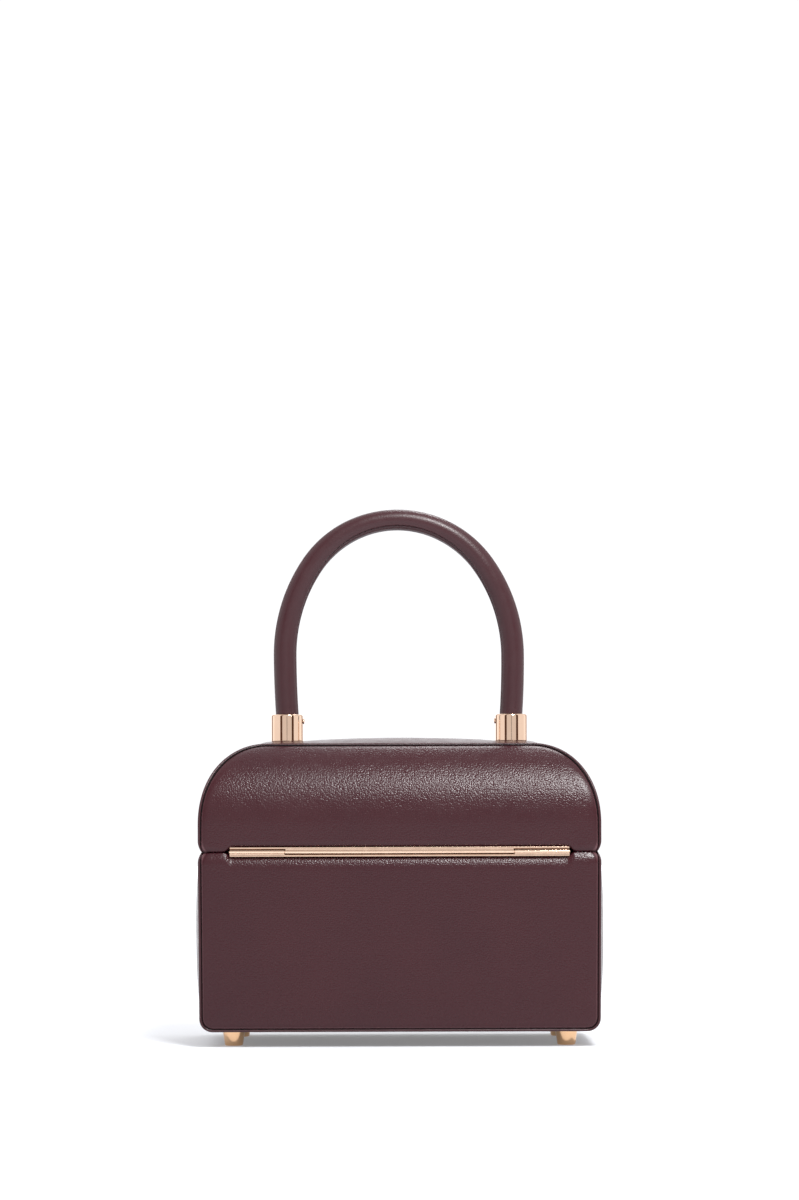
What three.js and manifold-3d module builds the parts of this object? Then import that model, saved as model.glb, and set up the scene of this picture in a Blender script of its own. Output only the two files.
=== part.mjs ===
// A small rigid box handbag with a domed lid, in millimetres with +Z up.
// The hinged side faces -Y, +X is on the right of someone looking at that side,
// and the origin lies on the floor, midway between the four feet.
import * as THREE from "three";
import { mergeVertices } from "three/addons/utils/BufferGeometryUtils.js";
import Module from "manifold-3d";

// Driving dimensions
const HALF_WIDTH = 90.6; // outside of the piping, near the mouth
const HALF_DEPTH = 44; // outer faces of the front and back panels
const BOX_UNDERSIDE_Z = 6.9;
const BOX_MOUTH_Z = 87.5;
const BOX_TAPER = 0.5; // each side leans in this much from mouth to underside
const BOX_CORNER_RADIUS = 6;
const BOX_SIDE_CROWN = 3; // how far the sides of the box bow out
const LID_MOUTH_Z = 88.5;
const LID_TOP_Z = 137.4; // level of the seams along the top
const LID_TOP_HALF_LENGTH = 60; // straight part of the top, seen from the back
const LID_CORNER_RISE = 37.3; // height of a rounded upper corner
const LID_CORNER_POWER = 2.15; // a little squarer than an ellipse
const LID_TOP_CROWN = 3.15; // how far the top of the lid bows up
const LID_CROWN_HALF_LENGTH = 68.5; // where that bow has run out
const LID_SIDE_CROWN = 0.8;
const ROLL_START_Z = 100; // the lid's faces start to roll inwards here
const ROLL_RADIUS = 44.5;
const TUCK = 1.7; // the walls draw in this much at the mouth
const TUCK_RISE = 5;
const PANEL_THICKNESS = 2.2;
const GUSSET_THICKNESS = 2.6;
const PIPING_RADIUS = 0.75;
const GAP = 0.3; // clearance between pieces that touch

const FOOT = { x: 75.6, y: 29, topRadius: 5, bottomRadius: 4.2, edge: 0.7 };

const HINGE = {
  y: -44.9, z: 88, halfLength: 76.5, middleHalfLength: 51.5,
  barrelRadius: 1.1, boreRadius: 0.75, pinRadius: 0.5,
  leafNear: 1.35, leafFar: 2.25, leafDepth: 6.5,
};
const HINGE_RECESS = { halfLength: 77, rise: 2.55 };

const SLEEVE = { x: 52, bottomZ: 138.9, topZ: 151.4, radius: 7.2, floor: 3.4, edge: 0.9 };
const SLEEVE_SCREW = { z: 148.3, radius: 1.3, height: 0.6 };

const HANDLE = {
  apexZ: 241.7, crownRadius: 48.3, crownHalfAngle: THREE.MathUtils.degToRad(55),
  halfSpan: 52.9, footHalfSpan: 52, legRadius: 5.25, topRadius: 4.85,
};

const CLASP = { halfWidth: 9, bottomZ: 78, topZ: 98, corner: 4, edge: 0.5, faceY: 46 };

// Materials, with the colours of the photo
const leather = new THREE.MeshStandardMaterial({ name: "burgundy leather", color: 0x4b3236, roughness: 0.45, metalness: 0 });
const metal = new THREE.MeshStandardMaterial({ name: "rose gold plated brass", color: 0xdcae92, roughness: 0.12, metalness: 1 });

const { Manifold, Mesh } = await (async () => {
  const wasm = await Module();
  wasm.setup();
  return wasm;
})();

// Closed surfaces

// Flips a closed surface whose faces point inwards.
function facingOut(geometry) {
  const index = geometry.index;
  const position = geometry.attributes.position;
  const [a, b, c] = [new THREE.Vector3(), new THREE.Vector3(), new THREE.Vector3()];
  let volume = 0;
  for (let i = 0; i < index.count; i += 3) {
    a.fromBufferAttribute(position, index.getX(i));
    b.fromBufferAttribute(position, index.getX(i + 1));
    c.fromBufferAttribute(position, index.getX(i + 2));
    volume += a.dot(b.cross(c));
  }
  if (volume < 0) {
    for (let i = 0; i < index.count; i += 3) {
      const kept = index.getX(i);
      index.setX(i, index.getX(i + 1));
      index.setX(i + 1, kept);
    }
  }
  return geometry;
}

function fromTriangles(points, triangles) {
  const geometry = new THREE.BufferGeometry();
  geometry.setAttribute("position", new THREE.Float32BufferAttribute(points.flatMap((p) => [p.x, p.y, p.z]), 3));
  geometry.setIndex(triangles);
  return facingOut(geometry);
}

// A wall between two grids of points with the same rows and columns.
function wall(outer, inner) {
  const rows = outer.length;
  const columns = outer[0].length;
  const points = [...outer.flat(), ...inner.flat()];
  const out = (r, c) => r * columns + c;
  const inn = (r, c) => rows * columns + r * columns + c;
  const triangles = [];
  const quad = (a, b, c, d) => triangles.push(a, b, c, a, c, d);
  for (let r = 0; r + 1 < rows; r++) {
    for (let c = 0; c + 1 < columns; c++) {
      quad(out(r, c), out(r, c + 1), out(r + 1, c + 1), out(r + 1, c));
      quad(inn(r, c), inn(r + 1, c), inn(r + 1, c + 1), inn(r, c + 1));
    }
    quad(out(r, 0), out(r + 1, 0), inn(r + 1, 0), inn(r, 0));
    quad(out(r + 1, columns - 1), out(r, columns - 1), inn(r, columns - 1), inn(r + 1, columns - 1));
  }
  for (let c = 0; c + 1 < columns; c++) {
    quad(out(0, c + 1), out(0, c), inn(0, c), inn(0, c + 1));
    quad(out(rows - 1, c), out(rows - 1, c + 1), inn(rows - 1, c + 1), inn(rows - 1, c));
  }
  return fromTriangles(points, triangles);
}

// A round rod with closed ends along a path of points.
function rod(path, radiusAt, sides) {
  const points = [];
  const triangles = [];
  const side = new THREE.Vector3(0, 1, 0);
  path.forEach((point, i) => {
    const along = path[Math.min(i + 1, path.length - 1)].clone().sub(path[Math.max(i - 1, 0)]).normalize();
    side.addScaledVector(along, -side.dot(along)).normalize();
    const up = along.clone().cross(side);
    const radius = radiusAt(i / (path.length - 1));
    for (let k = 0; k < sides; k++) {
      const turn = (2 * Math.PI * k) / sides;
      points.push(point.clone().addScaledVector(side, radius * Math.cos(turn)).addScaledVector(up, radius * Math.sin(turn)));
    }
    if (i === 0) return;
    for (let k = 0; k < sides; k++) {
      const [a, b] = [(i - 1) * sides + k, (i - 1) * sides + ((k + 1) % sides)];
      triangles.push(a, b, b + sides, a, b + sides, a + sides);
    }
  });
  const last = (path.length - 1) * sides;
  for (let k = 1; k + 1 < sides; k++) {
    triangles.push(0, k + 1, k, last, last + k, last + k + 1);
  }
  return fromTriangles(points, triangles);
}

// A turned piece about a vertical axis, from a profile of [radius, height].
function turned(profile, segments) {
  const lathe = new THREE.LatheGeometry(profile.map(([r, z]) => new THREE.Vector2(r, z)), segments);
  lathe.rotateX(Math.PI / 2);
  return facingOut(lathe);
}

function box(x0, x1, y0, y1, z0, z1) {
  return new THREE.BoxGeometry(x1 - x0, y1 - y0, z1 - z0).translate((x0 + x1) / 2, (y0 + y1) / 2, (z0 + z1) / 2);
}

// Joining and cutting

function solid(geometry) {
  const bare = geometry.clone();
  bare.deleteAttribute("normal");
  bare.deleteAttribute("uv");
  const merged = mergeVertices(bare, 1e-4);
  return new Manifold(new Mesh({
    numProp: 3,
    vertProperties: Float32Array.from(merged.attributes.position.array),
    triVerts: Uint32Array.from(merged.index.array),
  }));
}

function surface(manifold) {
  const mesh = manifold.getMesh();
  const geometry = new THREE.BufferGeometry();
  geometry.setAttribute("position", new THREE.BufferAttribute(mesh.vertProperties, 3));
  geometry.setIndex(new THREE.BufferAttribute(mesh.triVerts, 1));
  return geometry;
}

const joined = (...geometries) => surface(Manifold.union(geometries.map(solid)));
const cut = (geometry, ...tools) => surface(Manifold.difference([geometry, ...tools].map(solid)));

// Outlines of the seams, seen from the back, from the left mouth to the right

const steps = (count) => Array.from({ length: count + 1 }, (_, i) => i / count);

// The half of an outline on the right is mirrored to make the left.
function bothSides(rightHalf, middle) {
  const left = rightHalf.map((p) => new THREE.Vector2(-p.x, p.y)).reverse();
  return [...left, ...middle, ...rightHalf];
}

const tuckAt = (height) => TUCK * Math.max(0, 1 - height / TUCK_RISE) ** 2;

function boxOutline() {
  const mouthToBase = BOX_MOUTH_Z - BOX_UNDERSIDE_Z;
  const halfWidthAt = (z) => HALF_WIDTH - (BOX_TAPER * (BOX_MOUTH_Z - z)) / mouthToBase - tuckAt(BOX_MOUTH_Z - z);
  const r = BOX_CORNER_RADIUS;
  const cornerX = halfWidthAt(BOX_UNDERSIDE_Z + r) - r;
  const corner = steps(6).map((t) => new THREE.Vector2(
    cornerX + r * Math.sin((t * Math.PI) / 2),
    BOX_UNDERSIDE_Z + r - r * Math.cos((t * Math.PI) / 2),
  ));
  const side = [24, 36, 48, 60, 70, 78, BOX_MOUTH_Z - 5, BOX_MOUTH_Z - 3, BOX_MOUTH_Z - 1.4, BOX_MOUTH_Z]
    .map((z) => new THREE.Vector2(halfWidthAt(z), z));
  return bothSides([...corner, ...side], [new THREE.Vector2(0, BOX_UNDERSIDE_Z)]);
}

function lidOutline() {
  const cornerRun = HALF_WIDTH - LID_TOP_HALF_LENGTH;
  const cornerFootZ = LID_TOP_Z - LID_CORNER_RISE;
  const corner = steps(14).map((t) => {
    const angle = (t * Math.PI) / 2;
    return new THREE.Vector2(
      LID_TOP_HALF_LENGTH + cornerRun * Math.sin(angle) ** (2 / LID_CORNER_POWER),
      cornerFootZ + LID_CORNER_RISE * Math.cos(angle) ** (2 / LID_CORNER_POWER),
    );
  });
  const side = [LID_MOUTH_Z + 8, LID_MOUTH_Z + 5, LID_MOUTH_Z + 3, LID_MOUTH_Z + 1.4, LID_MOUTH_Z]
    .map((z) => new THREE.Vector2(HALF_WIDTH - tuckAt(z - LID_MOUTH_Z), z));
  const top = [15, 30, 40, 46, 52, 56].map((x) => new THREE.Vector2(x, LID_TOP_Z));
  return bothSides([...top, ...corner, ...side], [new THREE.Vector2(0, LID_TOP_Z)]);
}

// Unit vectors that point out of an outline; turn is 1 for the lid, -1 for the box.
function outwards(outline, turn) {
  return outline.map((_, i) => {
    const before = outline[Math.max(i - 1, 0)];
    const after = outline[Math.min(i + 1, outline.length - 1)];
    const along = after.clone().sub(before).normalize();
    return new THREE.Vector2(-along.y, along.x).multiplyScalar(turn);
  });
}

// An outline moved inwards by a distance, with its ends slid back to the mouth.
function inset(outline, turn, distance) {
  const normals = outwards(outline, turn);
  const moved = outline.map((p, i) => p.clone().addScaledVector(normals[i], -distance));
  for (const end of [0, outline.length - 1]) {
    const along = new THREE.Vector2(normals[end].y, -normals[end].x);
    moved[end].addScaledVector(along, (outline[end].y - moved[end].y) / along.y);
  }
  return moved;
}

// Box pieces

const BOX = boxOutline();
const panelInset = 2 * PIPING_RADIUS + GAP;

function boxPanel(side) {
  const edge = inset(BOX, -1, panelInset);
  const shape = new THREE.Shape(edge);
  const plate = new THREE.ExtrudeGeometry(shape, { depth: PANEL_THICKNESS, bevelEnabled: false });
  plate.rotateX(Math.PI / 2);
  const outerY = side * HALF_DEPTH;
  plate.translate(0, side < 0 ? outerY + PANEL_THICKNESS : outerY, 0);
  if (side > 0) return plate;
  const recess = box(
    -HINGE_RECESS.halfLength, HINGE_RECESS.halfLength, outerY - 1, outerY + PANEL_THICKNESS + 1,
    HINGE.z - HINGE_RECESS.rise, BOX_MOUTH_Z + 1,
  );
  return cut(plate, recess);
}

function boxPiping(side) {
  const path = inset(BOX, -1, PIPING_RADIUS)
    .map((p) => new THREE.Vector3(p.x, side * (HALF_DEPTH - PIPING_RADIUS), p.y));
  return rod(path, () => PIPING_RADIUS, 8);
}

function boxGusset() {
  const normals = outwards(BOX, -1);
  const within = inset(BOX, -1, GUSSET_THICKNESS);
  const halfDepth = HALF_DEPTH - PANEL_THICKNESS - GAP;
  const foot = BOX_UNDERSIDE_Z + BOX_CORNER_RADIUS;
  const crownAt = (z) => {
    const t = THREE.MathUtils.clamp((z - foot) / (BOX_MOUTH_Z - foot), 0, 1);
    return BOX_SIDE_CROWN * (1 - Math.abs(2 * t - 1) ** 3);
  };
  const across = steps(8).map((t) => 2 * t - 1);
  const grid = (points) => points.map((p, i) => across.map((v) => {
    const bow = crownAt(BOX[i].y) * (1 - v * v);
    return new THREE.Vector3(p.x + normals[i].x * bow, v * halfDepth, p.y + normals[i].y * bow);
  }));
  return wall(grid(BOX), grid(within));
}

function foot() {
  const { topRadius, bottomRadius, edge } = FOOT;
  const height = BOX_UNDERSIDE_Z - GAP;
  return turned([
    [0, 0], [bottomRadius - edge, 0], [bottomRadius - edge * 0.3, edge * 0.3], [bottomRadius, edge],
    [topRadius, height - 0.8], [topRadius, height], [0, height],
  ], 24);
}

// Lid pieces

const LID = lidOutline();

// Distance up the lid's face, measured along the leather, of a level on its seam.
function alongRoll(z) {
  const flat = ROLL_START_Z - LID_MOUTH_Z;
  return z <= ROLL_START_Z ? z - LID_MOUTH_Z : flat + ROLL_RADIUS * Math.asin((z - ROLL_START_Z) / ROLL_RADIUS);
}

// A point on the lid's back or front face, at a depth below its outer side.
function onLidFace(side, x, along, depth) {
  const flat = ROLL_START_Z - LID_MOUTH_Z;
  const angle = Math.max(0, along - flat) / ROLL_RADIUS;
  const radius = ROLL_RADIUS - depth;
  const inwards = ROLL_RADIUS - radius * Math.cos(angle);
  const z = along <= flat ? LID_MOUTH_Z + along : ROLL_START_Z + radius * Math.sin(angle);
  return new THREE.Vector3(x, side * (HALF_DEPTH - inwards), z);
}

const LID_SEAM = LID.map((p) => new THREE.Vector2(p.x, alongRoll(p.y)));

function lidPanel(side) {
  const edge = inset(LID_SEAM, 1, panelInset);
  const right = edge.slice((edge.length - 1) / 2 + 7).reverse();
  const face = (depth) => right.map((p) => [-p.x, p.x].map((x) => onLidFace(side, x, p.y, depth)));
  const panel = wall(face(0), face(PANEL_THICKNESS));
  if (side > 0) return panel;
  const recess = box(
    -HINGE_RECESS.halfLength, HINGE_RECESS.halfLength, -HALF_DEPTH - 1, -HALF_DEPTH + PANEL_THICKNESS + 1,
    LID_MOUTH_Z - 1, HINGE.z + HINGE_RECESS.rise,
  );
  return cut(panel, recess);
}

function lidPiping(side) {
  const path = inset(LID_SEAM, 1, PIPING_RADIUS).map((p) => onLidFace(side, p.x, p.y, PIPING_RADIUS));
  return rod(path, () => PIPING_RADIUS, 8);
}

// How far the lid's top and sides bow out, midway between the seams.
function lidCrown(point) {
  const top = LID_TOP_CROWN * (1 - (point.x / LID_CROWN_HALF_LENGTH) ** 2);
  const height = (point.y - LID_MOUTH_Z) / (LID_TOP_Z - LID_MOUTH_Z);
  const sides = LID_SIDE_CROWN * Math.sin(Math.PI * Math.min(1, height));
  return Math.max(top, sides, 0);
}

function lidGusset() {
  const normals = outwards(LID, 1);
  const within = inset(LID, 1, GUSSET_THICKNESS);
  const across = steps(8).map((t) => 2 * t - 1);
  const grid = (points) => points.map((p, i) => {
    const reach = Math.abs(onLidFace(-1, 0, alongRoll(LID[i].y), PANEL_THICKNESS + GAP).y);
    return across.map((v) => {
      const bow = lidCrown(LID[i]) * (1 - v * v);
      return new THREE.Vector3(p.x + normals[i].x * bow, v * reach, p.y + normals[i].y * bow);
    });
  });
  const seats = [-1, 1].map((side) => turned(
    [[0, 0], [SLEEVE.radius + GAP, 0], [SLEEVE.radius + GAP, 4], [0, 4]], 24,
  ).translate(side * SLEEVE.x, 0, SLEEVE.bottomZ - GAP));
  return cut(wall(grid(LID), grid(within)), ...seats);
}

function sleeve() {
  const { radius, floor, edge } = SLEEVE;
  const height = SLEEVE.topZ - SLEEVE.bottomZ;
  const bore = HANDLE.legRadius + GAP;
  return turned([
    [0, 0], [radius - 0.3, 0], [radius, 0.3], [radius, height - edge], [radius - edge * 0.3, height - edge * 0.3],
    [radius - edge, height], [bore, height], [bore, floor], [0, floor],
  ], 32);
}

// A domed screw head on the inner side of a sleeve; side is that of the sleeve.
function sleeveScrew(side) {
  const { z, radius, height } = SLEEVE_SCREW;
  const head = turned([[0, 0], [radius, 0], [radius, height * 0.4], [radius * 0.7, height * 0.85], [0, height]], 16);
  return head.rotateY((-side * Math.PI) / 2).translate(side * (SLEEVE.x - SLEEVE.radius - GAP), 0, z);
}

// The handle's middle line: straight in the sleeves, legs that lean in a little,
// then two arcs on each side that meet smoothly.
function handleLine() {
  const { apexZ, crownRadius, crownHalfAngle, halfSpan, footHalfSpan } = HANDLE;
  const crownZ = apexZ - crownRadius;
  const sideRadius = (halfSpan - crownRadius * Math.sin(crownHalfAngle)) / (1 - Math.sin(crownHalfAngle));
  const widestZ = crownZ + (crownRadius - sideRadius) * Math.cos(crownHalfAngle);
  const crown = steps(10).slice(1).map((t) => new THREE.Vector2(
    crownRadius * Math.sin(t * crownHalfAngle), crownZ + crownRadius * Math.cos(t * crownHalfAngle),
  ));
  const flank = steps(6).slice(1).map((t) => {
    const angle = (1 - t) * (Math.PI / 2 - crownHalfAngle);
    return new THREE.Vector2(halfSpan - sideRadius * (1 - Math.cos(angle)), widestZ + sideRadius * Math.sin(angle));
  });
  const leg = steps(4).slice(1).map((t) => new THREE.Vector2(
    halfSpan - (halfSpan - footHalfSpan) * t * t, widestZ + (SLEEVE.topZ - widestZ) * t,
  ));
  const end = new THREE.Vector2(footHalfSpan, SLEEVE.bottomZ + SLEEVE.floor + GAP);
  return bothSides([...crown, ...flank, ...leg, end], [new THREE.Vector2(0, apexZ)])
    .map((p) => new THREE.Vector3(p.x, 0, p.y));
}

function handle() {
  const { legRadius, topRadius } = HANDLE;
  return rod(handleLine(), (t) => topRadius + (legRadius - topRadius) * (2 * t - 1) ** 2, 18);
}

// Hinge; a leaf is a flat strip with its knuckles, upwards 1 for the lid, -1 for the box

function knuckle(x0, x1, radius, bore) {
  const length = x1 - x0;
  const profile = bore
    ? [[bore, 0], [radius, 0], [radius, length], [bore, length], [bore, 0]]
    : [[0, 0], [radius, 0], [radius, length], [0, length]];
  return turned(profile, 20).rotateY(Math.PI / 2).translate(x0, HINGE.y, HINGE.z);
}

function hingeLeaf(upwards, spans) {
  const { y, z, halfLength, barrelRadius, boreRadius, leafNear, leafFar, leafDepth } = HINGE;
  const level = (a, b) => (upwards > 0 ? [z + a, z + b] : [z - b, z - a]);
  const strip = box(-halfLength, halfLength, y + 0.3, y + leafDepth, ...level(leafNear, leafFar));
  const knuckles = spans.flatMap(([x0, x1]) => [
    knuckle(x0, x1, barrelRadius, boreRadius),
    box(x0, x1, y + 0.3, y + 1, ...level(boreRadius + 0.12, leafNear + 0.1)),
  ]);
  return joined(strip, ...knuckles);
}

function clasp() {
  const { halfWidth, bottomZ, topZ, corner, edge, faceY } = CLASP;
  const middleZ = (bottomZ + topZ) / 2;
  const halfHeight = (topZ - bottomZ) / 2;
  const shape = new THREE.Shape();
  const corners = [[1, 1], [-1, 1], [-1, -1], [1, -1]];
  corners.forEach(([sx, sz], i) => {
    const start = (i * Math.PI) / 2;
    shape.absarc(sx * (halfWidth - corner), sz * (halfHeight - corner), corner, start, start + Math.PI / 2);
  });
  const thickness = faceY - HALF_DEPTH - GAP;
  const plate = new THREE.ExtrudeGeometry(shape, {
    depth: thickness - 2 * edge, bevelThickness: edge, bevelSize: edge, bevelOffset: -edge, bevelSegments: 1, curveSegments: 4,
  });
  return plate.rotateX(-Math.PI / 2).translate(0, faceY - thickness + edge, middleZ);
}

// The whole bag

function piece(name, geometry, material) {
  const mesh = new THREE.Mesh(geometry, material);
  mesh.name = name;
  return mesh;
}

const bag = new THREE.Group();
bag.name = "box_handbag";

bag.add(
  piece("box_back_panel", boxPanel(-1), leather),
  piece("box_front_panel", boxPanel(1), leather),
  piece("box_gusset", boxGusset(), leather),
  piece("box_back_piping", boxPiping(-1), leather),
  piece("box_front_piping", boxPiping(1), leather),
);

for (const [row, sy] of [["back", -1], ["front", 1]]) {
  for (const [hand, sx] of [["left", -1], ["right", 1]]) {
    const stud = piece(`foot_${row}_${hand}`, foot(), metal);
    stud.position.set(sx * FOOT.x, sy * FOOT.y, 0);
    bag.add(stud);
  }
}

const { halfLength, middleHalfLength } = HINGE;
bag.add(
  piece("hinge_box_leaf", hingeLeaf(-1, [[-halfLength, -middleHalfLength - GAP], [middleHalfLength + GAP, halfLength]]), metal),
  piece("hinge_lid_leaf", hingeLeaf(1, [[-middleHalfLength, middleHalfLength]]), metal),
  piece("hinge_pin", knuckle(-halfLength, halfLength, HINGE.pinRadius), metal),
);

bag.add(
  piece("lid_back_panel", lidPanel(-1), leather),
  piece("lid_front_panel", lidPanel(1), leather),
  piece("lid_gusset", lidGusset(), leather),
  piece("lid_back_piping", lidPiping(-1), leather),
  piece("lid_front_piping", lidPiping(1), leather),
  piece("handle", handle(), leather),
  piece("front_clasp", clasp(), metal),
);

for (const [hand, side] of [["left", -1], ["right", 1]]) {
  const cup = piece(`handle_sleeve_${hand}`, sleeve(), metal);
  cup.position.set(side * SLEEVE.x, 0, SLEEVE.bottomZ);
  bag.add(cup, piece(`sleeve_screw_${hand}`, sleeveScrew(side), metal));
}

export default bag;
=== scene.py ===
# %% [markdown]
# # A small box handbag, dressed piece by piece
# The CAD model of a rigid leather handbag gives every size and place. This
# lesson gives each piece its finished shape and its finish, in the same frame:
# the hinged back faces -Y, +Z is up, and the feet stand at zero.

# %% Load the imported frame
import math
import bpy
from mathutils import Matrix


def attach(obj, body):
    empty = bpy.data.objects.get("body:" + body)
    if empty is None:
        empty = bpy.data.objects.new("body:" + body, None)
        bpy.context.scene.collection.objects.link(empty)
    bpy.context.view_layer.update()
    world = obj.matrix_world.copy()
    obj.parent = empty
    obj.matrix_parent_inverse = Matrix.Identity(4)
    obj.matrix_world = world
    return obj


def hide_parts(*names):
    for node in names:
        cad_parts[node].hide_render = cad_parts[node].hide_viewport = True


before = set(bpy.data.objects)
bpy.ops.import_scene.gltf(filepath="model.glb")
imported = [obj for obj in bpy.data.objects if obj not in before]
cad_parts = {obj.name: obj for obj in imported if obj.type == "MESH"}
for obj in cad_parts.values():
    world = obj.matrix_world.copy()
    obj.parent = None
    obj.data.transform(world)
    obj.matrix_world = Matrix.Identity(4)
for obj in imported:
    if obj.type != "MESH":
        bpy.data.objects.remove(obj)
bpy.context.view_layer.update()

from types import SimpleNamespace

import bmesh
import bpy
import numpy as np
from mathutils import Vector, noise

MM = 0.001

# %% [markdown]
# ## Camera
# The photo is taken square on to the back of the bag, from about the height of
# the hinge, with a long lens. The camera could be tilted to frame the bag, but a
# level one keeps the verticals parallel, so the lens is shifted instead. The
# camera comes first, because everything is judged through it.

# %% Camera
PHOTO_HEIGHT_PX, FOCAL_PX, HORIZON_ROW = 1200, 3000, 825
SENSOR_MM = 36
CAMERA_HEIGHT, CAMERA_DISTANCE = 100 * MM, 1394 * MM
ROLL = math.radians(0.17)
scene = bpy.context.scene


def add_object(name, data):
    made = bpy.data.objects.new(name, data)
    scene.collection.objects.link(made)
    return made


lens = bpy.data.cameras.new("photo_lens")
lens.sensor_width = SENSOR_MM
lens.lens = SENSOR_MM * FOCAL_PX / PHOTO_HEIGHT_PX
lens.shift_y = HORIZON_ROW / PHOTO_HEIGHT_PX - 0.5
camera = add_object("photo_camera", lens)
camera.location = (0, -CAMERA_DISTANCE, CAMERA_HEIGHT)
camera.rotation_euler = (math.radians(90), ROLL, 0)
scene.camera = camera
scene.view_settings.view_transform = "Standard"
print("lens in mm:", round(lens.lens, 1))

# %% [markdown]
# ## One helper for every node
# Shader trees and geometry trees are built the same way: add a node, set what
# is fixed, link what is not. A value that is a socket becomes a link, and a value
# that is a node links its first output. Every material starts from its shader
# and from the place on the piece, read as Object coordinates.

# %% Node helper, colours and new materials
COLOUR_A, COLOUR_B, MIXED_COLOUR = 6, 7, 2  # a Mix node's sockets for colours


def fill(tree, node, inputs):
    for key, value in inputs.items():
        if isinstance(value, bpy.types.Node):
            value = value.outputs[0]
        if isinstance(value, bpy.types.NodeSocket):
            tree.links.new(value, node.inputs[key])
        else:
            node.inputs[key].default_value = value


def add_node(tree, kind, inputs=None, **settings):
    made = tree.nodes.new(kind)
    for name, value in settings.items():
        setattr(made, name, value)
    fill(tree, made, inputs or {})
    return made


def linear(hex_colour):
    """An sRGB hex colour as linear values, by the standard curve."""
    parts = [int(hex_colour[i:i + 2], 16) / 255 for i in (1, 3, 5)]
    return [p / 12.92 if p <= 0.04045 else ((p + 0.055) / 1.055) ** 2.4 for p in parts] + [1]


def new_material(name):
    material = bpy.data.materials.new(name)
    material.use_nodes = True
    tree = material.node_tree
    place = add_node(tree, "ShaderNodeTexCoord").outputs["Object"]
    return material, tree, tree.nodes["Principled BSDF"], place


print("a mid grey, linear:", round(linear("#808080")[0], 3))

# %% [markdown]
# ## Studio
# The photo is a white sweep with soft light from everywhere. An even white world
# would do for the leather, but polished metal shows the room round it. So only
# reflections see more: two narrow unlit gaps on each side, a dimmer room on the
# camera's side, a brighter backdrop behind the bag, and the camera's thin stand
# as a dark line just above the lens.

# %% World: where a ray looks
STRIP_AZIMUTH, STRIP_HALF_WIDTH = math.radians(42), math.radians(10)

world = bpy.data.worlds.new("white_studio")
world.use_nodes = True
scene.world = world
sky = world.node_tree
sky.nodes.clear()
towards = add_node(sky, "ShaderNodeTexCoord").outputs["Generated"]
axes = add_node(sky, "ShaderNodeSeparateXYZ", {0: towards}).outputs
sideways = add_node(sky, "ShaderNodeMath", {0: axes["X"]}, operation="ABSOLUTE")
frontwards = add_node(sky, "ShaderNodeMath", {0: axes["Y"], 1: -1}, operation="MULTIPLY")
azimuth = add_node(sky, "ShaderNodeMath", {0: sideways, 1: frontwards}, operation="ARCTAN2")
from_side = add_node(sky, "ShaderNodeMath", {0: azimuth, 1: math.pi / 2}, operation="SUBTRACT")
off_side = add_node(sky, "ShaderNodeMath", {0: from_side}, operation="ABSOLUTE")
from_strip = add_node(sky, "ShaderNodeMath", {
    0: off_side, 1: math.pi / 2 - STRIP_AZIMUTH,
}, operation="SUBTRACT")
off_strip = add_node(sky, "ShaderNodeMath", {0: from_strip}, operation="ABSOLUTE")
print("dark gaps at degrees:", [round(math.degrees(a)) for a in (STRIP_AZIMUTH, math.pi - STRIP_AZIMUTH)])

# %% World: what it sees there
WORLD_STRENGTH = 1.08
GAP_COLOUR, ROOM_COLOUR = "#5a3f30", "#fdfdff"
STRIP_CORE = 0.6
CAMERA_SIDE, BACKDROP = 0.77, 1.35
BACKDROP_STARTS, BACKDROP_FULL = math.radians(95), math.radians(130)
STAND_SHADE, STAND_LEVEL, STAND_HALF_HEIGHT = 0.75, 0.0375, 0.0225
STAND_CORE, STAND_EDGE = math.radians(1.2), math.radians(2.6)

lit = add_node(sky, "ShaderNodeMapRange", {
    "Value": off_strip, "From Min": STRIP_HALF_WIDTH * STRIP_CORE, "From Max": STRIP_HALF_WIDTH,
}, interpolation_type="SMOOTHSTEP")
room = add_node(sky, "ShaderNodeMapRange", {
    "Value": azimuth,
    "From Min": STRIP_AZIMUTH - STRIP_HALF_WIDTH, "From Max": STRIP_AZIMUTH + STRIP_HALF_WIDTH,
    "To Min": CAMERA_SIDE * WORLD_STRENGTH, "To Max": WORLD_STRENGTH,
})
backdrop = add_node(sky, "ShaderNodeMapRange", {
    "Value": azimuth, "From Min": BACKDROP_STARTS, "From Max": BACKDROP_FULL, "To Min": 1, "To Max": BACKDROP,
})
post = add_node(sky, "ShaderNodeMapRange", {
    "Value": azimuth, "From Min": STAND_CORE, "From Max": STAND_EDGE, "To Min": STAND_SHADE, "To Max": 0,
})
level = add_node(sky, "ShaderNodeMath", {
    0: axes["Z"], 1: STAND_LEVEL, 2: STAND_HALF_HEIGHT,
}, operation="COMPARE")
stand = add_node(sky, "ShaderNodeMath", {0: post, 1: level}, operation="MULTIPLY")
clear = add_node(sky, "ShaderNodeMath", {0: 1, 1: stand}, operation="SUBTRACT")
behind = add_node(sky, "ShaderNodeMath", {0: room, 1: backdrop}, operation="MULTIPLY")
around = add_node(sky, "ShaderNodeMath", {0: behind, 1: clear}, operation="MULTIPLY")
in_gloss = add_node(sky, "ShaderNodeLightPath").outputs["Is Glossy Ray"]
unseen = add_node(sky, "ShaderNodeMath", {0: 1, 1: in_gloss}, operation="SUBTRACT")
white = add_node(sky, "ShaderNodeMath", {0: lit, 1: unseen}, operation="MAXIMUM")
shown = add_node(sky, "ShaderNodeMix", {"Factor": in_gloss, "A": WORLD_STRENGTH, "B": around})
tint = add_node(sky, "ShaderNodeMix", {
    "Factor": white, COLOUR_A: linear(GAP_COLOUR), COLOUR_B: linear(ROOM_COLOUR),
}, data_type="RGBA")
glow = add_node(sky, "ShaderNodeBackground", {"Color": tint.outputs[MIXED_COLOUR], "Strength": shown})
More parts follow.
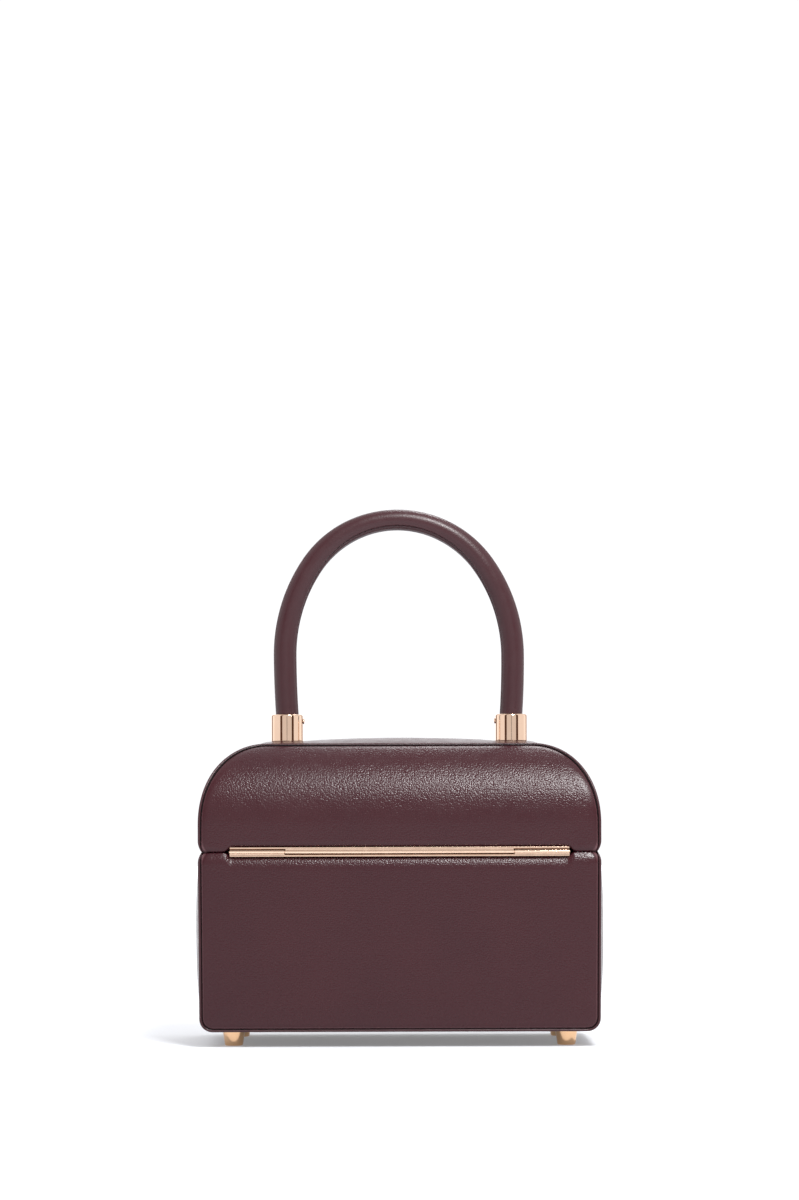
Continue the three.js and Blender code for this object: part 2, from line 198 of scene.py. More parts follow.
add_node(sky, "ShaderNodeOutputWorld", {"Surface": glow})
print("world nodes:", len(sky.nodes))

# %% [markdown]
# The floor is white paper. It glows a little, like a light table, which keeps
# the shadow under the bag grey instead of black, and it glows more farther out,
# so that it runs into the white behind it with no horizon. A softbox high on the
# right draws the pale band across the lid, and a weaker one behind the bag draws
# the bright rim along the lid's top edge.

# %% Floor and softboxes
FLOOR_HALF = 6
FLOOR_GLOW, SWEEP_GLOW = 0.2, 0.7
GLOW_STARTS, GLOW_ENDS = 0.5, 1.8
LIGHTS_AIM = Vector((0, 0, 0.12))

floor_mesh = bpy.data.meshes.new("floor")
floor_corners = [(x * FLOOR_HALF, y * FLOOR_HALF, 0) for x, y in ((-1, -1), (1, -1), (1, 1), (-1, 1))]
floor_mesh.from_pydata(floor_corners, [], [(0, 1, 2, 3)])
add_object("floor", floor_mesh)
paper, paper_tree, paper_shader, spot = new_material("white paper sweep")
away = add_node(paper_tree, "ShaderNodeVectorMath", {0: spot}, operation="LENGTH").outputs["Value"]
light_table = add_node(paper_tree, "ShaderNodeMapRange", {
    "Value": away, "From Min": GLOW_STARTS, "From Max": GLOW_ENDS, "To Min": FLOOR_GLOW, "To Max": SWEEP_GLOW,
})
fill(paper_tree, paper_shader, {
    "Base Color": linear("#d2d4d8"), "Roughness": 0.7,
    "Emission Color": linear("#ffffff"), "Emission Strength": light_table,
})
floor_mesh.materials.append(paper)


def softbox(name, size, watts, place):
    light = bpy.data.lights.new(name, "AREA")
    light.shape = "RECTANGLE"
    light.size, light.size_y = size
    light.energy = watts
    box = add_object(name, light)
    box.location = place
    box.rotation_euler = (LIGHTS_AIM - box.location).to_track_quat("-Z", "Y").to_euler()


softbox("front_softbox", size=(0.30, 0.29), watts=16.8, place=(0.30, -0.76, 1.06))
softbox("rear_softbox", size=(0.40, 0.20), watts=2.8, place=(0.19, 0.68, 1.21))
print("softboxes:", [light.name for light in bpy.data.lights])

# %% [markdown]
# ## Burgundy calf leather
# Smooth calf, dyed through and finished with a thin satin coat. Up close it is a
# mesh of tiny pebbles with pores between them, about half a millimetre across;
# here the pebbles are drawn at 0.85 mm, because finer ones vanish in the render.
# They break the softbox's reflection into the grainy band on the lid. Near a seam
# the leather is stretched, so its grain lies flatter, and right at the seam a paler
# colour is painted on as a highlight, standing for the light that the panel's
# rounded edge catches. The panels carry how near the seam is in an attribute,
# because a pattern on the place alone can't follow an edge. Rolled leather has a
# flatter grain, and the raw edge is dyed nearly black.

# %% Leather material
GRAIN_MM, PORE_MM, CLOUD_MM, HAND_MM = 0.85, 0.4, 28, 5
WANDER_GRAINS, WANDER_SHARE, PEBBLE_SPREAD = 2.2, 0.4, 0.8
PEBBLE_SHARE = 3.0
NEAR_MM = 10
GRAIN_FADES_MM, GRAIN_FLAT_MM, STRETCHED_RELIEF = 6, 2.5, 0.1
# painted highlight: a paler colour along the panel's edge by the seam, for the light its rounding catches
SEAM_HIGHLIGHT_STARTS_MM, SEAM_HIGHLIGHT_FULL_MM, PAINTED_SEAM_HIGHLIGHT = 2.3, 1.5, "#5a3c40"
NOISE_LOW, NOISE_HIGH = 0.3, 0.7  # most values of a noise texture lie between these
GLOSSIER, DULLER = 0.04, 0.05


def leather_material(name, dark, light, rough, grain_height, shine):
    material, tree, shader, place = new_material(name)
    wander = add_node(tree, "ShaderNodeTexNoise", {
        "Vector": place, "Scale": 1 / (WANDER_GRAINS * GRAIN_MM * MM), "Detail": 1,
    })
    centred = add_node(tree, "ShaderNodeVectorMath", {
        0: wander.outputs["Color"], 1: (0.5, 0.5, 0.5),
    }, operation="SUBTRACT")
    shifted = add_node(tree, "ShaderNodeVectorMath", {
        0: centred, 1: (WANDER_SHARE * GRAIN_MM * MM,) * 3, 2: place,
    }, operation="MULTIPLY_ADD")
    pebbles = add_node(tree, "ShaderNodeTexVoronoi", {
        "Vector": shifted, "Scale": 1 / (GRAIN_MM * MM), "Randomness": PEBBLE_SPREAD,
    })
    pores = add_node(tree, "ShaderNodeTexNoise", {"Vector": place, "Scale": 1 / (PORE_MM * MM), "Detail": 2})
    domed = add_node(tree, "ShaderNodeMath", {0: pebbles.outputs["Distance"], 1: 2}, operation="POWER")
    height = add_node(tree, "ShaderNodeMath", {
        0: domed, 1: -PEBBLE_SHARE, 2: pores.outputs["Fac"],
    }, operation="MULTIPLY_ADD")
    nearness = add_node(tree, "ShaderNodeAttribute", attribute_name="nearness").outputs["Fac"]
    relief = add_node(tree, "ShaderNodeMapRange", {
        "Value": nearness, "From Min": NEAR_MM - GRAIN_FADES_MM, "From Max": NEAR_MM - GRAIN_FLAT_MM,
        "To Min": 1, "To Max": STRETCHED_RELIEF,
    })
    # painted highlight: the mask that lightens the colour along the panel's edge next to the seam
    seam_highlight = add_node(tree, "ShaderNodeMapRange", {
        "Value": nearness, "From Min": NEAR_MM - SEAM_HIGHLIGHT_STARTS_MM, "From Max": NEAR_MM - SEAM_HIGHLIGHT_FULL_MM,
    })
    bump = add_node(tree, "ShaderNodeBump", {
        "Height": height, "Strength": relief, "Distance": grain_height / PEBBLE_SHARE * MM,
    })
    clouds = add_node(tree, "ShaderNodeTexNoise", {
        "Vector": place, "Scale": 1 / (CLOUD_MM * MM), "Detail": 3,
    })
    tone = add_node(tree, "ShaderNodeMix", {
        "Factor": clouds.outputs["Fac"], COLOUR_A: linear(dark), COLOUR_B: linear(light),
    }, data_type="RGBA")
    highlighted_tone = add_node(tree, "ShaderNodeMix", {
        "Factor": seam_highlight, COLOUR_A: tone.outputs[MIXED_COLOUR], COLOUR_B: linear(PAINTED_SEAM_HIGHLIGHT),
    }, data_type="RGBA")
    handling = add_node(tree, "ShaderNodeTexNoise", {
        "Vector": place, "Scale": 1 / (HAND_MM * MM), "Detail": 2,
    })
    gloss = add_node(tree, "ShaderNodeMapRange", {
        "Value": handling.outputs["Fac"], "From Min": NOISE_LOW, "From Max": NOISE_HIGH,
        "To Min": rough - GLOSSIER, "To Max": rough + DULLER,
    })
    fill(tree, shader, {
        "Base Color": highlighted_tone.outputs[MIXED_COLOUR], "Roughness": gloss, "Normal": bump,
        "Specular IOR Level": shine,
    })
    return material


calf = leather_material(
    "burgundy calf leather", "#301218", "#37161b", rough=0.27, grain_height=0.111, shine=0.28)
roll_calf = leather_material(
    "burgundy calf leather, rolled", "#311318", "#37171c", rough=0.36, grain_height=0.035, shine=0.37)
dyed_edge = leather_material(
    "dyed leather edge", "#0c0607", "#140a0c", rough=0.7, grain_height=0.04, shine=0.12)
print("leather materials:", [m.name for m in (calf, roll_calf, dyed_edge)])

# %% [markdown]
# ## Lining and thread
# What the closed bag hides is finished plainly: a brushed microfibre in the same
# colour on the inner faces, whose nap takes the light softly. The nap is drawn at
# 0.8 mm, coarser than its fibres, so that it shows. The thread along the handle's
# seam is waxed polyester, a shade darker than the leather, with the slight gloss
# of wax.

# %% Lining and thread materials
NAP_MM, NAP_HEIGHT_MM, NAP_RELIEF, BRUSHED_MM = 0.8, 0.06, 0.8, 14
TWIST_MM = 0.6

lining, tree, shader, place = new_material("brushed microfibre lining")
nap = add_node(tree, "ShaderNodeTexNoise", {"Vector": place, "Scale": 1 / (NAP_MM * MM), "Detail": 3})
nap_bump = add_node(tree, "ShaderNodeBump", {
    "Height": nap.outputs["Fac"], "Strength": NAP_RELIEF, "Distance": NAP_HEIGHT_MM * MM,
})
brushed = add_node(tree, "ShaderNodeTexNoise", {"Vector": place, "Scale": 1 / (BRUSHED_MM * MM), "Detail": 2})
tone = add_node(tree, "ShaderNodeMix", {
    "Factor": brushed.outputs["Fac"], COLOUR_A: linear("#4a2d31"), COLOUR_B: linear("#5a393c"),
}, data_type="RGBA")
fill(tree, shader, {
    "Base Color": tone.outputs[MIXED_COLOUR], "Normal": nap_bump, "Roughness": 0.95, "Sheen Weight": 0.25,
})

thread, tree, shader, place = new_material("waxed polyester thread")
twist = add_node(tree, "ShaderNodeTexNoise", {"Vector": place, "Scale": 1 / (TWIST_MM * MM), "Detail": 2})
tone = add_node(tree, "ShaderNodeMix", {
    "Factor": twist.outputs["Fac"], COLOUR_A: linear("#2e1a1e"), COLOUR_B: linear("#43272c"),
}, data_type="RGBA")
fill(tree, shader, {"Base Color": tone.outputs[MIXED_COLOUR], "Roughness": 0.5})
print("plain finishes:", lining.name, "and", thread.name)

# %% [markdown]
# ## Rose gold plating
# Brass that was turned or rolled, polished to a mirror and plated. Its colour is
# all in its reflections, so the metal is fully metallic with a low roughness, and
# a faint unevenness keeps the mirror from looking drawn. The feet get a copy of the
# metal in a deeper, more golden tone; the deeper part is painted shade, for the
# dark underside of the bag that they reflect.

# %% Metal material
HAZE_MM = 4
MIRROR, HAZY = 0.03, 0.07


def plated(name, dark, light):
    material, tree, shader, place = new_material(name)
    haze = add_node(tree, "ShaderNodeTexNoise", {"Vector": place, "Scale": 1 / (HAZE_MM * MM), "Detail": 3})
    polish = add_node(tree, "ShaderNodeMapRange", {
        "Value": haze.outputs["Fac"], "From Min": NOISE_LOW, "From Max": NOISE_HIGH,
        "To Min": MIRROR, "To Max": HAZY,
    })
    plating = add_node(tree, "ShaderNodeMix", {
        "Factor": haze.outputs["Fac"], COLOUR_A: linear(dark), COLOUR_B: linear(light),
    }, data_type="RGBA")
    fill(tree, shader, {"Base Color": plating.outputs[MIXED_COLOUR], "Roughness": polish, "Metallic": 1})
    return material


rose_gold = plated("rose gold plated brass", "#eac8ae", "#edceb6")
# painted shade: the feet's copy of the metal is darker, for the shade under the bag that they reflect
shaded_foot_gold = plated("rose gold plated brass, painted shade", "#e2b68c", "#e5bd97")
print("metals:", rose_gold.name, "and", shaded_foot_gold.name)

# %% [markdown]
# ## Seam lines
# Seen from the back, each half of the bag is a U: the box opens upwards, the lid
# downwards. The walls draw in a little at the mouth, where the leather is turned
# over the board. The lines could be drawn by hand as curves, but a formula for
# each stretch lets one size change without redrawing. Each line runs from the
# left mouth to the right mouth, in mm.

# %% Outlines of box and lid
HALF_WIDTH, HALF_DEPTH = 90.9, 44.0
BOX_UNDERSIDE, BOX_MOUTH, BOX_TAPER, BOX_CORNER = 6.9, 88.0, 0.5, 6.0
LID_MOUTH, LID_TOP, LID_STRAIGHT, LID_RISE, LID_POWER = 88.0, 137.4, 60.0, 37.3, 2.15
TUCK, TUCK_RISE = 1.7, 5.0
LINE_STEP = 0.8


def tuck(height):
    return TUCK * np.clip(1 - height / TUCK_RISE, 0, 1) ** 2


def run_along(line):
    return np.concatenate([[0], np.cumsum(np.linalg.norm(np.diff(line, axis=0), axis=1))])


def points_at(line, wanted):
    run = run_along(line)
    return np.column_stack([np.interp(wanted, run, line[:, k]) for k in range(line.shape[1])])


def resample(line, spacing, multiple=1):
    length = run_along(line)[-1]
    steps = multiple * max(1, round(length / spacing / multiple))
    return points_at(line, np.linspace(0, length, steps + 1))


def both_sides(right):
    return np.vstack([right[:0:-1] * (-1, 1), right])


def box_outline(wall_points=400, corner_points=60):
    corner_level = BOX_UNDERSIDE + BOX_CORNER
    levels = np.linspace(corner_level, BOX_MOUTH, wall_points)
    lean = BOX_TAPER * (BOX_MOUTH - levels) / (BOX_MOUTH - BOX_UNDERSIDE)
    wall = np.column_stack([HALF_WIDTH - lean - tuck(BOX_MOUTH - levels), levels])
    turn = np.linspace(0, np.pi / 2, corner_points)
    across = wall[0, 0] - BOX_CORNER + BOX_CORNER * np.sin(turn)
    corner = np.column_stack([across, corner_level - BOX_CORNER * np.cos(turn)])
    return both_sides(np.vstack([[(0, BOX_UNDERSIDE)], corner, wall[1:]]))


def lid_outline(wall_points=120, corner_points=200):
    turn = np.linspace(0, np.pi / 2, corner_points)
    run = HALF_WIDTH - LID_STRAIGHT
    corner = np.column_stack([
        LID_STRAIGHT + run * np.sin(turn) ** (2 / LID_POWER),
        LID_TOP - LID_RISE + LID_RISE * np.clip(np.cos(turn), 0, 1) ** (2 / LID_POWER),
    ])
    levels = np.linspace(LID_TOP - LID_RISE, LID_MOUTH, wall_points)[1:]
    wall = np.column_stack([HALF_WIDTH - tuck(levels - LID_MOUTH), levels])
    return both_sides(np.vstack([[(0, LID_TOP)], corner, wall]))


BOX_LINE = resample(box_outline(), LINE_STEP)
LID_LINE = resample(lid_outline(), LINE_STEP)
print("seam lengths in mm:", [round(run_along(line)[-1]) for line in (BOX_LINE, LID_LINE)])

# %% [markdown]
# ## The rolled face of the lid
# The lid's front and back are boards bent over one way, like a rolled sheet, so
# a point on them is known by its place across and its distance up the leather.
# Moving a seam inwards is done on that flat sheet, as a maker would mark it, and
# not on the bent face, where the distances would come out wrong.

# %% From flat leather to the lid's face
ROLL_START, ROLL_RADIUS = 100.0, 44.5
FLAT_RUN = ROLL_START - LID_MOUTH
LID_TURN, BOX_TURN = 1, -1


def up_the_leather(level):
    bent = np.arcsin(np.clip((level - ROLL_START) / ROLL_RADIUS, 0, 1))
    return np.where(level <= ROLL_START, level - LID_MOUTH, FLAT_RUN + ROLL_RADIUS * bent)


def on_lid_face(across, along, depth, facing):
    bent = np.maximum(0, along - FLAT_RUN) / ROLL_RADIUS
    radius = ROLL_RADIUS - depth
    level = np.where(along <= FLAT_RUN, LID_MOUTH + along, ROLL_START + radius * np.sin(bent))
    out = HALF_DEPTH - ROLL_RADIUS + radius * np.cos(bent)
    return np.column_stack([across, facing * out, level])


def on_box_face(across, along, depth, facing):
    out = HALF_DEPTH - depth + np.zeros_like(across)
    return np.column_stack([across, facing * out, along])


def unit(vectors):
    return vectors / np.linalg.norm(vectors, axis=1)[:, None]


def outwards(line, turn):
    ahead = unit(np.gradient(line, axis=0))
    return turn * np.column_stack([-ahead[:, 1], ahead[:, 0]])


def inset(line, turn, distance):
    """The line moved inwards, with its ends kept level with the mouth."""
    normal = outwards(line, turn)
    moved = line - np.reshape(distance, (-1, 1)) * normal
    for end in (0, -1):
        ahead = np.array([normal[end, 1], -normal[end, 0]])
        moved[end] += ahead * (line[end, 1] - moved[end, 1]) / ahead[1]
    return moved


LID_SEAM = np.column_stack([LID_LINE[:, 0], up_the_leather(LID_LINE[:, 1])])
print("leather up the lid's face in mm:", round(float(LID_SEAM[:, 1].max()), 1))

# %% [markdown]
# ## Making a piece from points
# Every hand-built piece goes through one function, which makes the mesh, marks
# the faces that belong to the lining, points the faces outwards and keeps hard
# edges hard. Another hands the piece to its body in the frame, with the CAD nodes
# that it replaces.

# %% Piece helpers
SAME_POINT = 1e-7


def hand_over(piece, body, nodes=()):
    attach(piece, body)
    if nodes:
        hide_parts(*nodes)
    return piece


def finish_faces(mesh, sharp_deg, merge=False):
    """Points the faces outwards, also on a tube, where the recalculation can turn them all inwards."""
    shape = bmesh.new()
    shape.from_mesh(mesh)
    if merge:
        bmesh.ops.remove_doubles(shape, verts=shape.verts, dist=SAME_POINT)
    bmesh.ops.recalc_face_normals(shape, faces=shape.faces)
    if shape.calc_volume(signed=True) < 0:
        bmesh.ops.reverse_faces(shape, faces=shape.faces)
    shape.to_mesh(mesh)
    shape.free()
    mesh.set_sharp_from_angle(angle=math.radians(sharp_deg))


def mesh_object(name, points_mm, faces, materials, hidden_faces=(), sharp_deg=50, nearness=None):
    mesh = bpy.data.meshes.new(name)
    mesh.from_pydata((np.asarray(points_mm, float) * MM).tolist(), [], faces)
    for material in materials:
        mesh.materials.append(material)
    mesh.polygons.foreach_set("use_smooth", [True] * len(mesh.polygons))
    if len(hidden_faces):
        slots = np.zeros(len(mesh.polygons), int)
        slots[list(hidden_faces)] = 1
        mesh.polygons.foreach_set("material_index", slots.tolist())
    if nearness is not None:
        mesh.attributes.new("nearness", "FLOAT", "POINT").data.foreach_set("value", nearness)
    finish_faces(mesh, sharp_deg, merge=True)
    return add_object(name, mesh)


def grid_faces(rows, columns, first=0, closed=False):
    wrap = columns if closed else columns - 1
    return [
        (first + r * columns + c, first + r * columns + (c + 1) % columns,
         first + (r + 1) * columns + (c + 1) % columns, first + (r + 1) * columns + c)
        for r in range(rows - 1) for c in range(wrap)
    ]


def lined_piece(name, outer, inner, shell, lined, wall, nearness):
    """Leather outside, lining inside, and a wall of leather between them."""
    hidden = range(len(shell), len(shell) + len(lined))
    points, faces = np.vstack([outer, inner]), shell + lined + wall
    return mesh_object(name, points, faces, [calf, lining], hidden, nearness=nearness)


def triangles(*pieces):
    return sum(len(face.vertices) - 2 for piece in pieces for face in piece.data.polygons)


# %% [markdown]
# ## Panels
# A panel is leather drawn over a soft pad and a board and turned over its edges.
# A subdivided plate would lose the hinge's recess and the roll at the mouth, so
# rings of points follow the panel's outline: the first few make the rounded edge,
# and the rest close in on a line along the middle.

# %% Panel outline and rings
PIPING_RADIUS, SEAM_GAP = 0.6, 0.3
PIPING_END, PIPING_END_RUN = 0.4, 5.0
ROUND_IN, ROUND_DEEP = 0.5, 0.7
EDGE_RINGS, FACE_RINGS, LINING_RINGS, RING_POWER = 8, 30, 10, 1.5
LOOP_SPACING, LIP_POINTS = 0.7, 401
OUTLINE_PASSES, SQUARE_PASSES, CALM_PASSES = 4, 200, 400
ELBOW, CALM_SHARE = 9.0, 0.4
RECESS_HALF, RECESS_RISE, RECESS_SLOPE = 77.2, 2.45, 3.4


def ease(value):
    """From 0 to 1 with a soft start and a soft end."""
    t = np.clip(value, 0, 1)
    return t * t * (3 - 2 * t)


def piping_share(rise):
    """How thick the piping is at a height above or below the mouth, as a share."""
    return PIPING_END + (1 - PIPING_END) * ease(np.abs(rise) / PIPING_END_RUN)


def hinge_step(across, rise):
    return rise * ease((RECESS_HALF + RECESS_SLOPE / 2 - np.abs(across)) / RECESS_SLOPE)


def soften_loop(values, passes):
    for _ in range(passes):
        values = (np.roll(values, 1, axis=0) + 2 * values + np.roll(values, -1, axis=0)) / 4
    return values


def panel_outline(half, rise):
    """Closed outline, from the middle of the mouth; it follows the piping, which thins out at the mouth."""
    thick = 2 * PIPING_RADIUS * piping_share(half.seam[:, 1] - half.mouth)
    edge = inset(half.seam, half.turn, thick + SEAM_GAP)
    across = np.linspace(edge[-1, 0], edge[0, 0], LIP_POINTS)
    lip = np.column_stack([across, half.mouth + hinge_step(across, rise)])
    middle = LIP_POINTS // 2
    loop = resample(np.vstack([lip[middle:], edge[1:], lip[1:middle + 1]]), LOOP_SPACING, 4)[:-1]
    return soften_loop(loop, OUTLINE_PASSES)


def spine_of(loop, half_length):
    """For each outline point, its partner on a line along the middle of the panel."""
    quarter = len(loop) // 4
    k = np.arange(len(loop))
    step = np.where(k < quarter, quarter - k, np.where(k <= 3 * quarter, k - quarter, 5 * quarter - k))
    across = half_length * (step / quarter - 1)
    return np.column_stack([across, np.full(len(loop), loop[quarter, 1])])


def bend_in(edge, calm, square_in, middle, q):
    """A ring between edge and middle: it leaves squarely and loses the edge's small steps."""
    start = edge + (calm - edge) * ease(q / CALM_SHARE)
    return (1 - q) ** 2 * start + 2 * q * (1 - q) * (start + square_in) + q ** 2 * middle


def panel_rings(loop, spine):
    """The face's rings, how deep their points lie for the rounded edge, and the lining's rings."""
    ahead = unit(np.roll(loop, -1, axis=0) - np.roll(loop, 1, axis=0))
    area = np.sum(loop[:, 0] * np.roll(loop[:, 1], -1) - np.roll(loop[:, 0], -1) * loop[:, 1])
    inward = np.column_stack([-ahead[:, 1], ahead[:, 0]]) * np.sign(area)
    square_in = ELBOW * unit(soften_loop(inward, SQUARE_PASSES))
    middle = spine_of(loop, spine)
    rings, depth = [], []
    for angle in np.linspace(0, np.pi / 2, EDGE_RINGS):
        rings.append(loop + inward * ROUND_IN * (1 - np.cos(angle)))
        depth.append(np.full(len(loop), ROUND_DEEP * (1 - np.sin(angle))))
    edge = rings[-1]
    calm = soften_loop(edge, CALM_PASSES)
    for q in np.linspace(0, 1, FACE_RINGS + 1)[1:] ** RING_POWER:
        rings.append(bend_in(edge, calm, square_in, middle, q))
        depth.append(np.zeros(len(loop)))
    calm = soften_loop(loop, CALM_PASSES)
    back = [bend_in(loop, calm, square_in, middle, q) for q in np.linspace(0, 1, LINING_RINGS)]
    return np.array(rings), np.concatenate(depth), np.vstack(back)


def folded(rings):
    """How many quads between the rings are turned over."""
    along = np.roll(rings, -1, axis=1) - rings
    inwards = rings[1:] - rings[:-1]
    turn = along[:-1, :, 0] * inwards[:, :, 1] - along[:-1, :, 1] * inwards[:, :, 0]
    return int(min((turn < -1e-9).sum(), (turn > 1e-9).sum()))


print("rings in a panel:", EDGE_RINGS + FACE_RINGS, "outside and", LINING_RINGS, "inside")

# %% [markdown]
# The leather dips at the seam, where the stitching pulls it down, and the pad
# lifts it again within a few millimetres, which is what makes the lid look
# upholstered. It rolls in over the mouth in a fuller slope, and small puckers sit
# in that roll, where leather bunches as it is turned. A cloth simulation would
# need a remesh that erases these edges, so the lift is worked out from the
# distance to the seam.

# %% Panel shape
PANEL_THICK, LEAST_WALL = 2.2, 0.1
LIP_RUN = 14
ROLL_POWER = 2.2
PUCKER_HEIGHT, PUCKER_SIZE, PUCKER_STARTS, PUCKER_RUN = 0.16, 5.0, 1, 6
WAVE_HEIGHT, WAVE_SIZE = 0.05, 22.0
PUCKER_SEED, WAVE_SEED, FACE_SEED = 3.0, 11.0, 7.0


def distance_to(points, line):
    nearest = np.full(len(points), np.inf)
    for a, b in zip(line[:-1], line[1:]):
        t = np.clip((points - a) @ (b - a) / ((b - a) @ (b - a)), 0, 1)
        nearest = np.minimum(nearest, np.linalg.norm(points - a - t[:, None] * (b - a), axis=1))
    return nearest


def ripple(points_mm, size_mm, seed):
    return np.array([noise.noise(Vector(p) / size_mm + Vector((seed, 0, 0))) for p in points_mm])


def pad_lift(from_seam, from_mouth, half):
    """How far the pad holds the leather off the board; a lift is a start, a rise and a run from the seam."""
    lifted = 0
    for start, rise, run in half.lifts:
        t = np.clip((from_seam - 2 * PIPING_RADIUS - SEAM_GAP) / run, 0, 1)
        lifted = lifted + start + rise * t * (2 - t)
    return lifted * (half.lift_at_lip + (1 - half.lift_at_lip) * ease(from_mouth / LIP_RUN))


def rolled_in(rise, mouth_round):
    """How far the leather is turned in at a height above or below the mouth."""
    run, drop = mouth_round
    return drop * np.clip(1 - np.abs(rise) / run, 0, 1) ** ROLL_POWER


def bunched(flat, from_mouth, facing):
    where = np.column_stack([flat, np.full(len(flat), FACE_SEED * facing)])
    near_mouth = np.clip(1 - np.maximum(from_mouth - PUCKER_STARTS, 0) / PUCKER_RUN, 0, 1) ** 2
    puckers = PUCKER_HEIGHT * near_mouth * ripple(where, PUCKER_SIZE, PUCKER_SEED)
    return puckers + WAVE_HEIGHT * ripple(where, WAVE_SIZE, WAVE_SEED)


def panel(name, half, facing):
    """The piece, and how many of its quads are turned over."""
    rise = half.recess if facing < 0 else 0
    loop = panel_outline(half, rise)
    rings, depth, back = panel_rings(loop, half.spine)
    flat = np.vstack(rings)
    from_seam, from_mouth = distance_to(flat, half.seam), flat[:, 1] - half.mouth
    depth += rolled_in(from_mouth - hinge_step(flat[:, 0], rise), half.mouth_round)
    depth -= pad_lift(from_seam, np.abs(from_mouth), half)
    depth += bunched(flat, np.abs(from_mouth), facing)
    outer = half.on_face(flat[:, 0], flat[:, 1], np.minimum(depth, PANEL_THICK - LEAST_WALL), facing)
    inner = half.on_face(back[:, 0], back[:, 1], np.full(len(back), PANEL_THICK), facing)
    count, first = len(loop), len(outer)
    shell = grid_faces(len(rings), count, closed=True)
    lined = grid_faces(LINING_RINGS, count, first, closed=True)
    wall = [(k, (k + 1) % count, first + (k + 1) % count, first + k) for k in range(count)]
    near = np.concatenate([np.maximum(NEAR_MM - from_seam, 0), np.zeros(len(inner))])
    return lined_piece(name, outer, inner, shell, lined, wall, near), folded(rings)


print("leather wall of a panel in mm:", PANEL_THICK)

# %% [markdown]
# The back panels step aside for the hinge: the lid's edge lifts over it and the
# box's edge dips below it. The step is a soft slope, as leather can't turn a
# sharp corner. The front panels have plain straight edges.

# %% The four panels
HINGE_Z = 88.0
SIDES = ((-1, "back"), (1, "front"))
HALVES = {
    "lid": SimpleNamespace(
        seam=LID_SEAM, turn=LID_TURN, mouth=0, on_face=on_lid_face, mouth_round=(2.5, 0.7),
        recess=HINGE_Z + RECESS_RISE - LID_MOUTH, spine=63.0,
        lifts=[(-0.45, 0.45, 3.4), (0, 0.5, 14.0)], lift_at_lip=0.4, fill=0.9),
    "box": SimpleNamespace(
        seam=BOX_LINE, turn=BOX_TURN, mouth=BOX_MOUTH, on_face=on_box_face, mouth_round=(6.0, 2.0),
        recess=HINGE_Z - RECESS_RISE - BOX_MOUTH, spine=52.0,
        lifts=[(-0.1, 0.4, 2.5), (0, 0.45, 12.0)], lift_at_lip=1.0, fill=0.95),
}

for facing, row in SIDES:
    for body, half in HALVES.items():
        made, turned_over = panel(f"{body}_{row}_face", half, facing)
        hand_over(made, body, [f"{body}_{row}_panel"])
        print(made.name, "triangles:", triangles(made), "quads turned over:", turned_over)

# %% [markdown]
# ## Gussets
# A gusset is one long strip that makes two sides and the bottom of the box, or
# two sides and the top of the lid. A curve with a flat section could draw it, but
# the strip bows out in the middle of each wall and narrows at the mouth. So it is
# a grid: rows along the seam, columns from back to front, with its long edges and
# mouth ends rounded where the leather turns.

# %% Gusset shape
GUSSET_THICK, STRIP_ROUND = 2.6, 0.35
GUSSET_CALM = 3.0
EDGE_RUN, EDGE_STRIP, EVEN_COLUMNS = 1.0, 1.5, 22
SWELL_HEIGHT, SWELL_SIZE, SWELL_SEED = 0.06, 20.0, 5.0
NEAR_EDGE = np.array([0, 0.04, 0.15, 0.32, 0.52, 0.75])


def rounded_drop(distance):
    short = np.clip(STRIP_ROUND - distance, 0, STRIP_ROUND)
    return STRIP_ROUND - np.sqrt(STRIP_ROUND ** 2 - short ** 2)


def end_rows(line):
    """The line with extra rows near both ends, for the rounded mouth, and each row's distance to its end."""
    run = run_along(line)
    between = run[(run > EDGE_RUN) & (run < run[-1] - EDGE_RUN)]
    wanted = np.unique(np.concatenate([NEAR_EDGE, between, run[-1] - NEAR_EDGE]))
    return points_at(line, wanted), np.minimum(wanted, run[-1] - wanted)


def gusset(name, line, turn, reach_at, crown_at, press=None):
    line, from_mouth = end_rows(line)
    normal = outwards(line, turn)
    reach = reach_at(line[:, 1])
    even = np.linspace(EDGE_STRIP, reach.max(), EVEN_COLUMNS)[:-1]
    outer, inner = [], []
    rows = zip(line, inset(line, turn, GUSSET_THICK), normal, reach, from_mouth)
    for (x, z), (inner_x, inner_z), (out, up), wide, from_end in rows:
        half = np.concatenate([NEAR_EDGE, even * (wide / reach.max())])
        y = np.concatenate([half - wide, [0], (wide - half)[::-1]])
        bow = crown_at(x, z) * (1 - (y / wide) ** 2)
        drop = np.maximum(rounded_drop(wide - np.abs(y)), rounded_drop(np.full_like(y, from_end)))
        rise = up * min(1.0, from_end / EDGE_RUN)
        outer.append(np.column_stack([x + out * (bow - drop), y, z + rise * (bow - drop)]))
        inner.append(np.column_stack([inner_x + out * bow, y, inner_z + up * bow]))
    index = np.arange(len(outer) * len(y)).reshape(len(outer), len(y))
    outer, inner = np.vstack(outer), np.vstack(inner)
    if press is not None:
        outer = press(outer)
    swell = SWELL_HEIGHT * ripple(outer, SWELL_SIZE, SWELL_SEED)
    outwards_3d = np.column_stack([normal[:, 0], np.zeros(len(line)), normal[:, 1]])
    outer += np.repeat(outwards_3d, len(y), axis=0) * swell[:, None]
    first = len(outer)
    shell, lined = grid_faces(*index.shape), grid_faces(*index.shape, first)
    rim = np.concatenate([index[0], index[1:, -1], index[-1, -2::-1], index[-2:0:-1, 0]]).tolist()
    wall = [(a, b, first + b, first + a) for a, b in zip(rim, rim[1:] + rim[:1])]
    near = np.full(2 * first, NEAR_MM - GUSSET_CALM)
    return lined_piece(name, outer, inner, shell, lined, wall, near)


print("columns across a gusset:", 2 * (len(NEAR_EDGE) + EVEN_COLUMNS - 1) + 1)

# %% [markdown]
# The box's sides bow between the panels. The lid's top is crowned, and the
# leather is pressed flat under the two handle sleeves and rises round them.

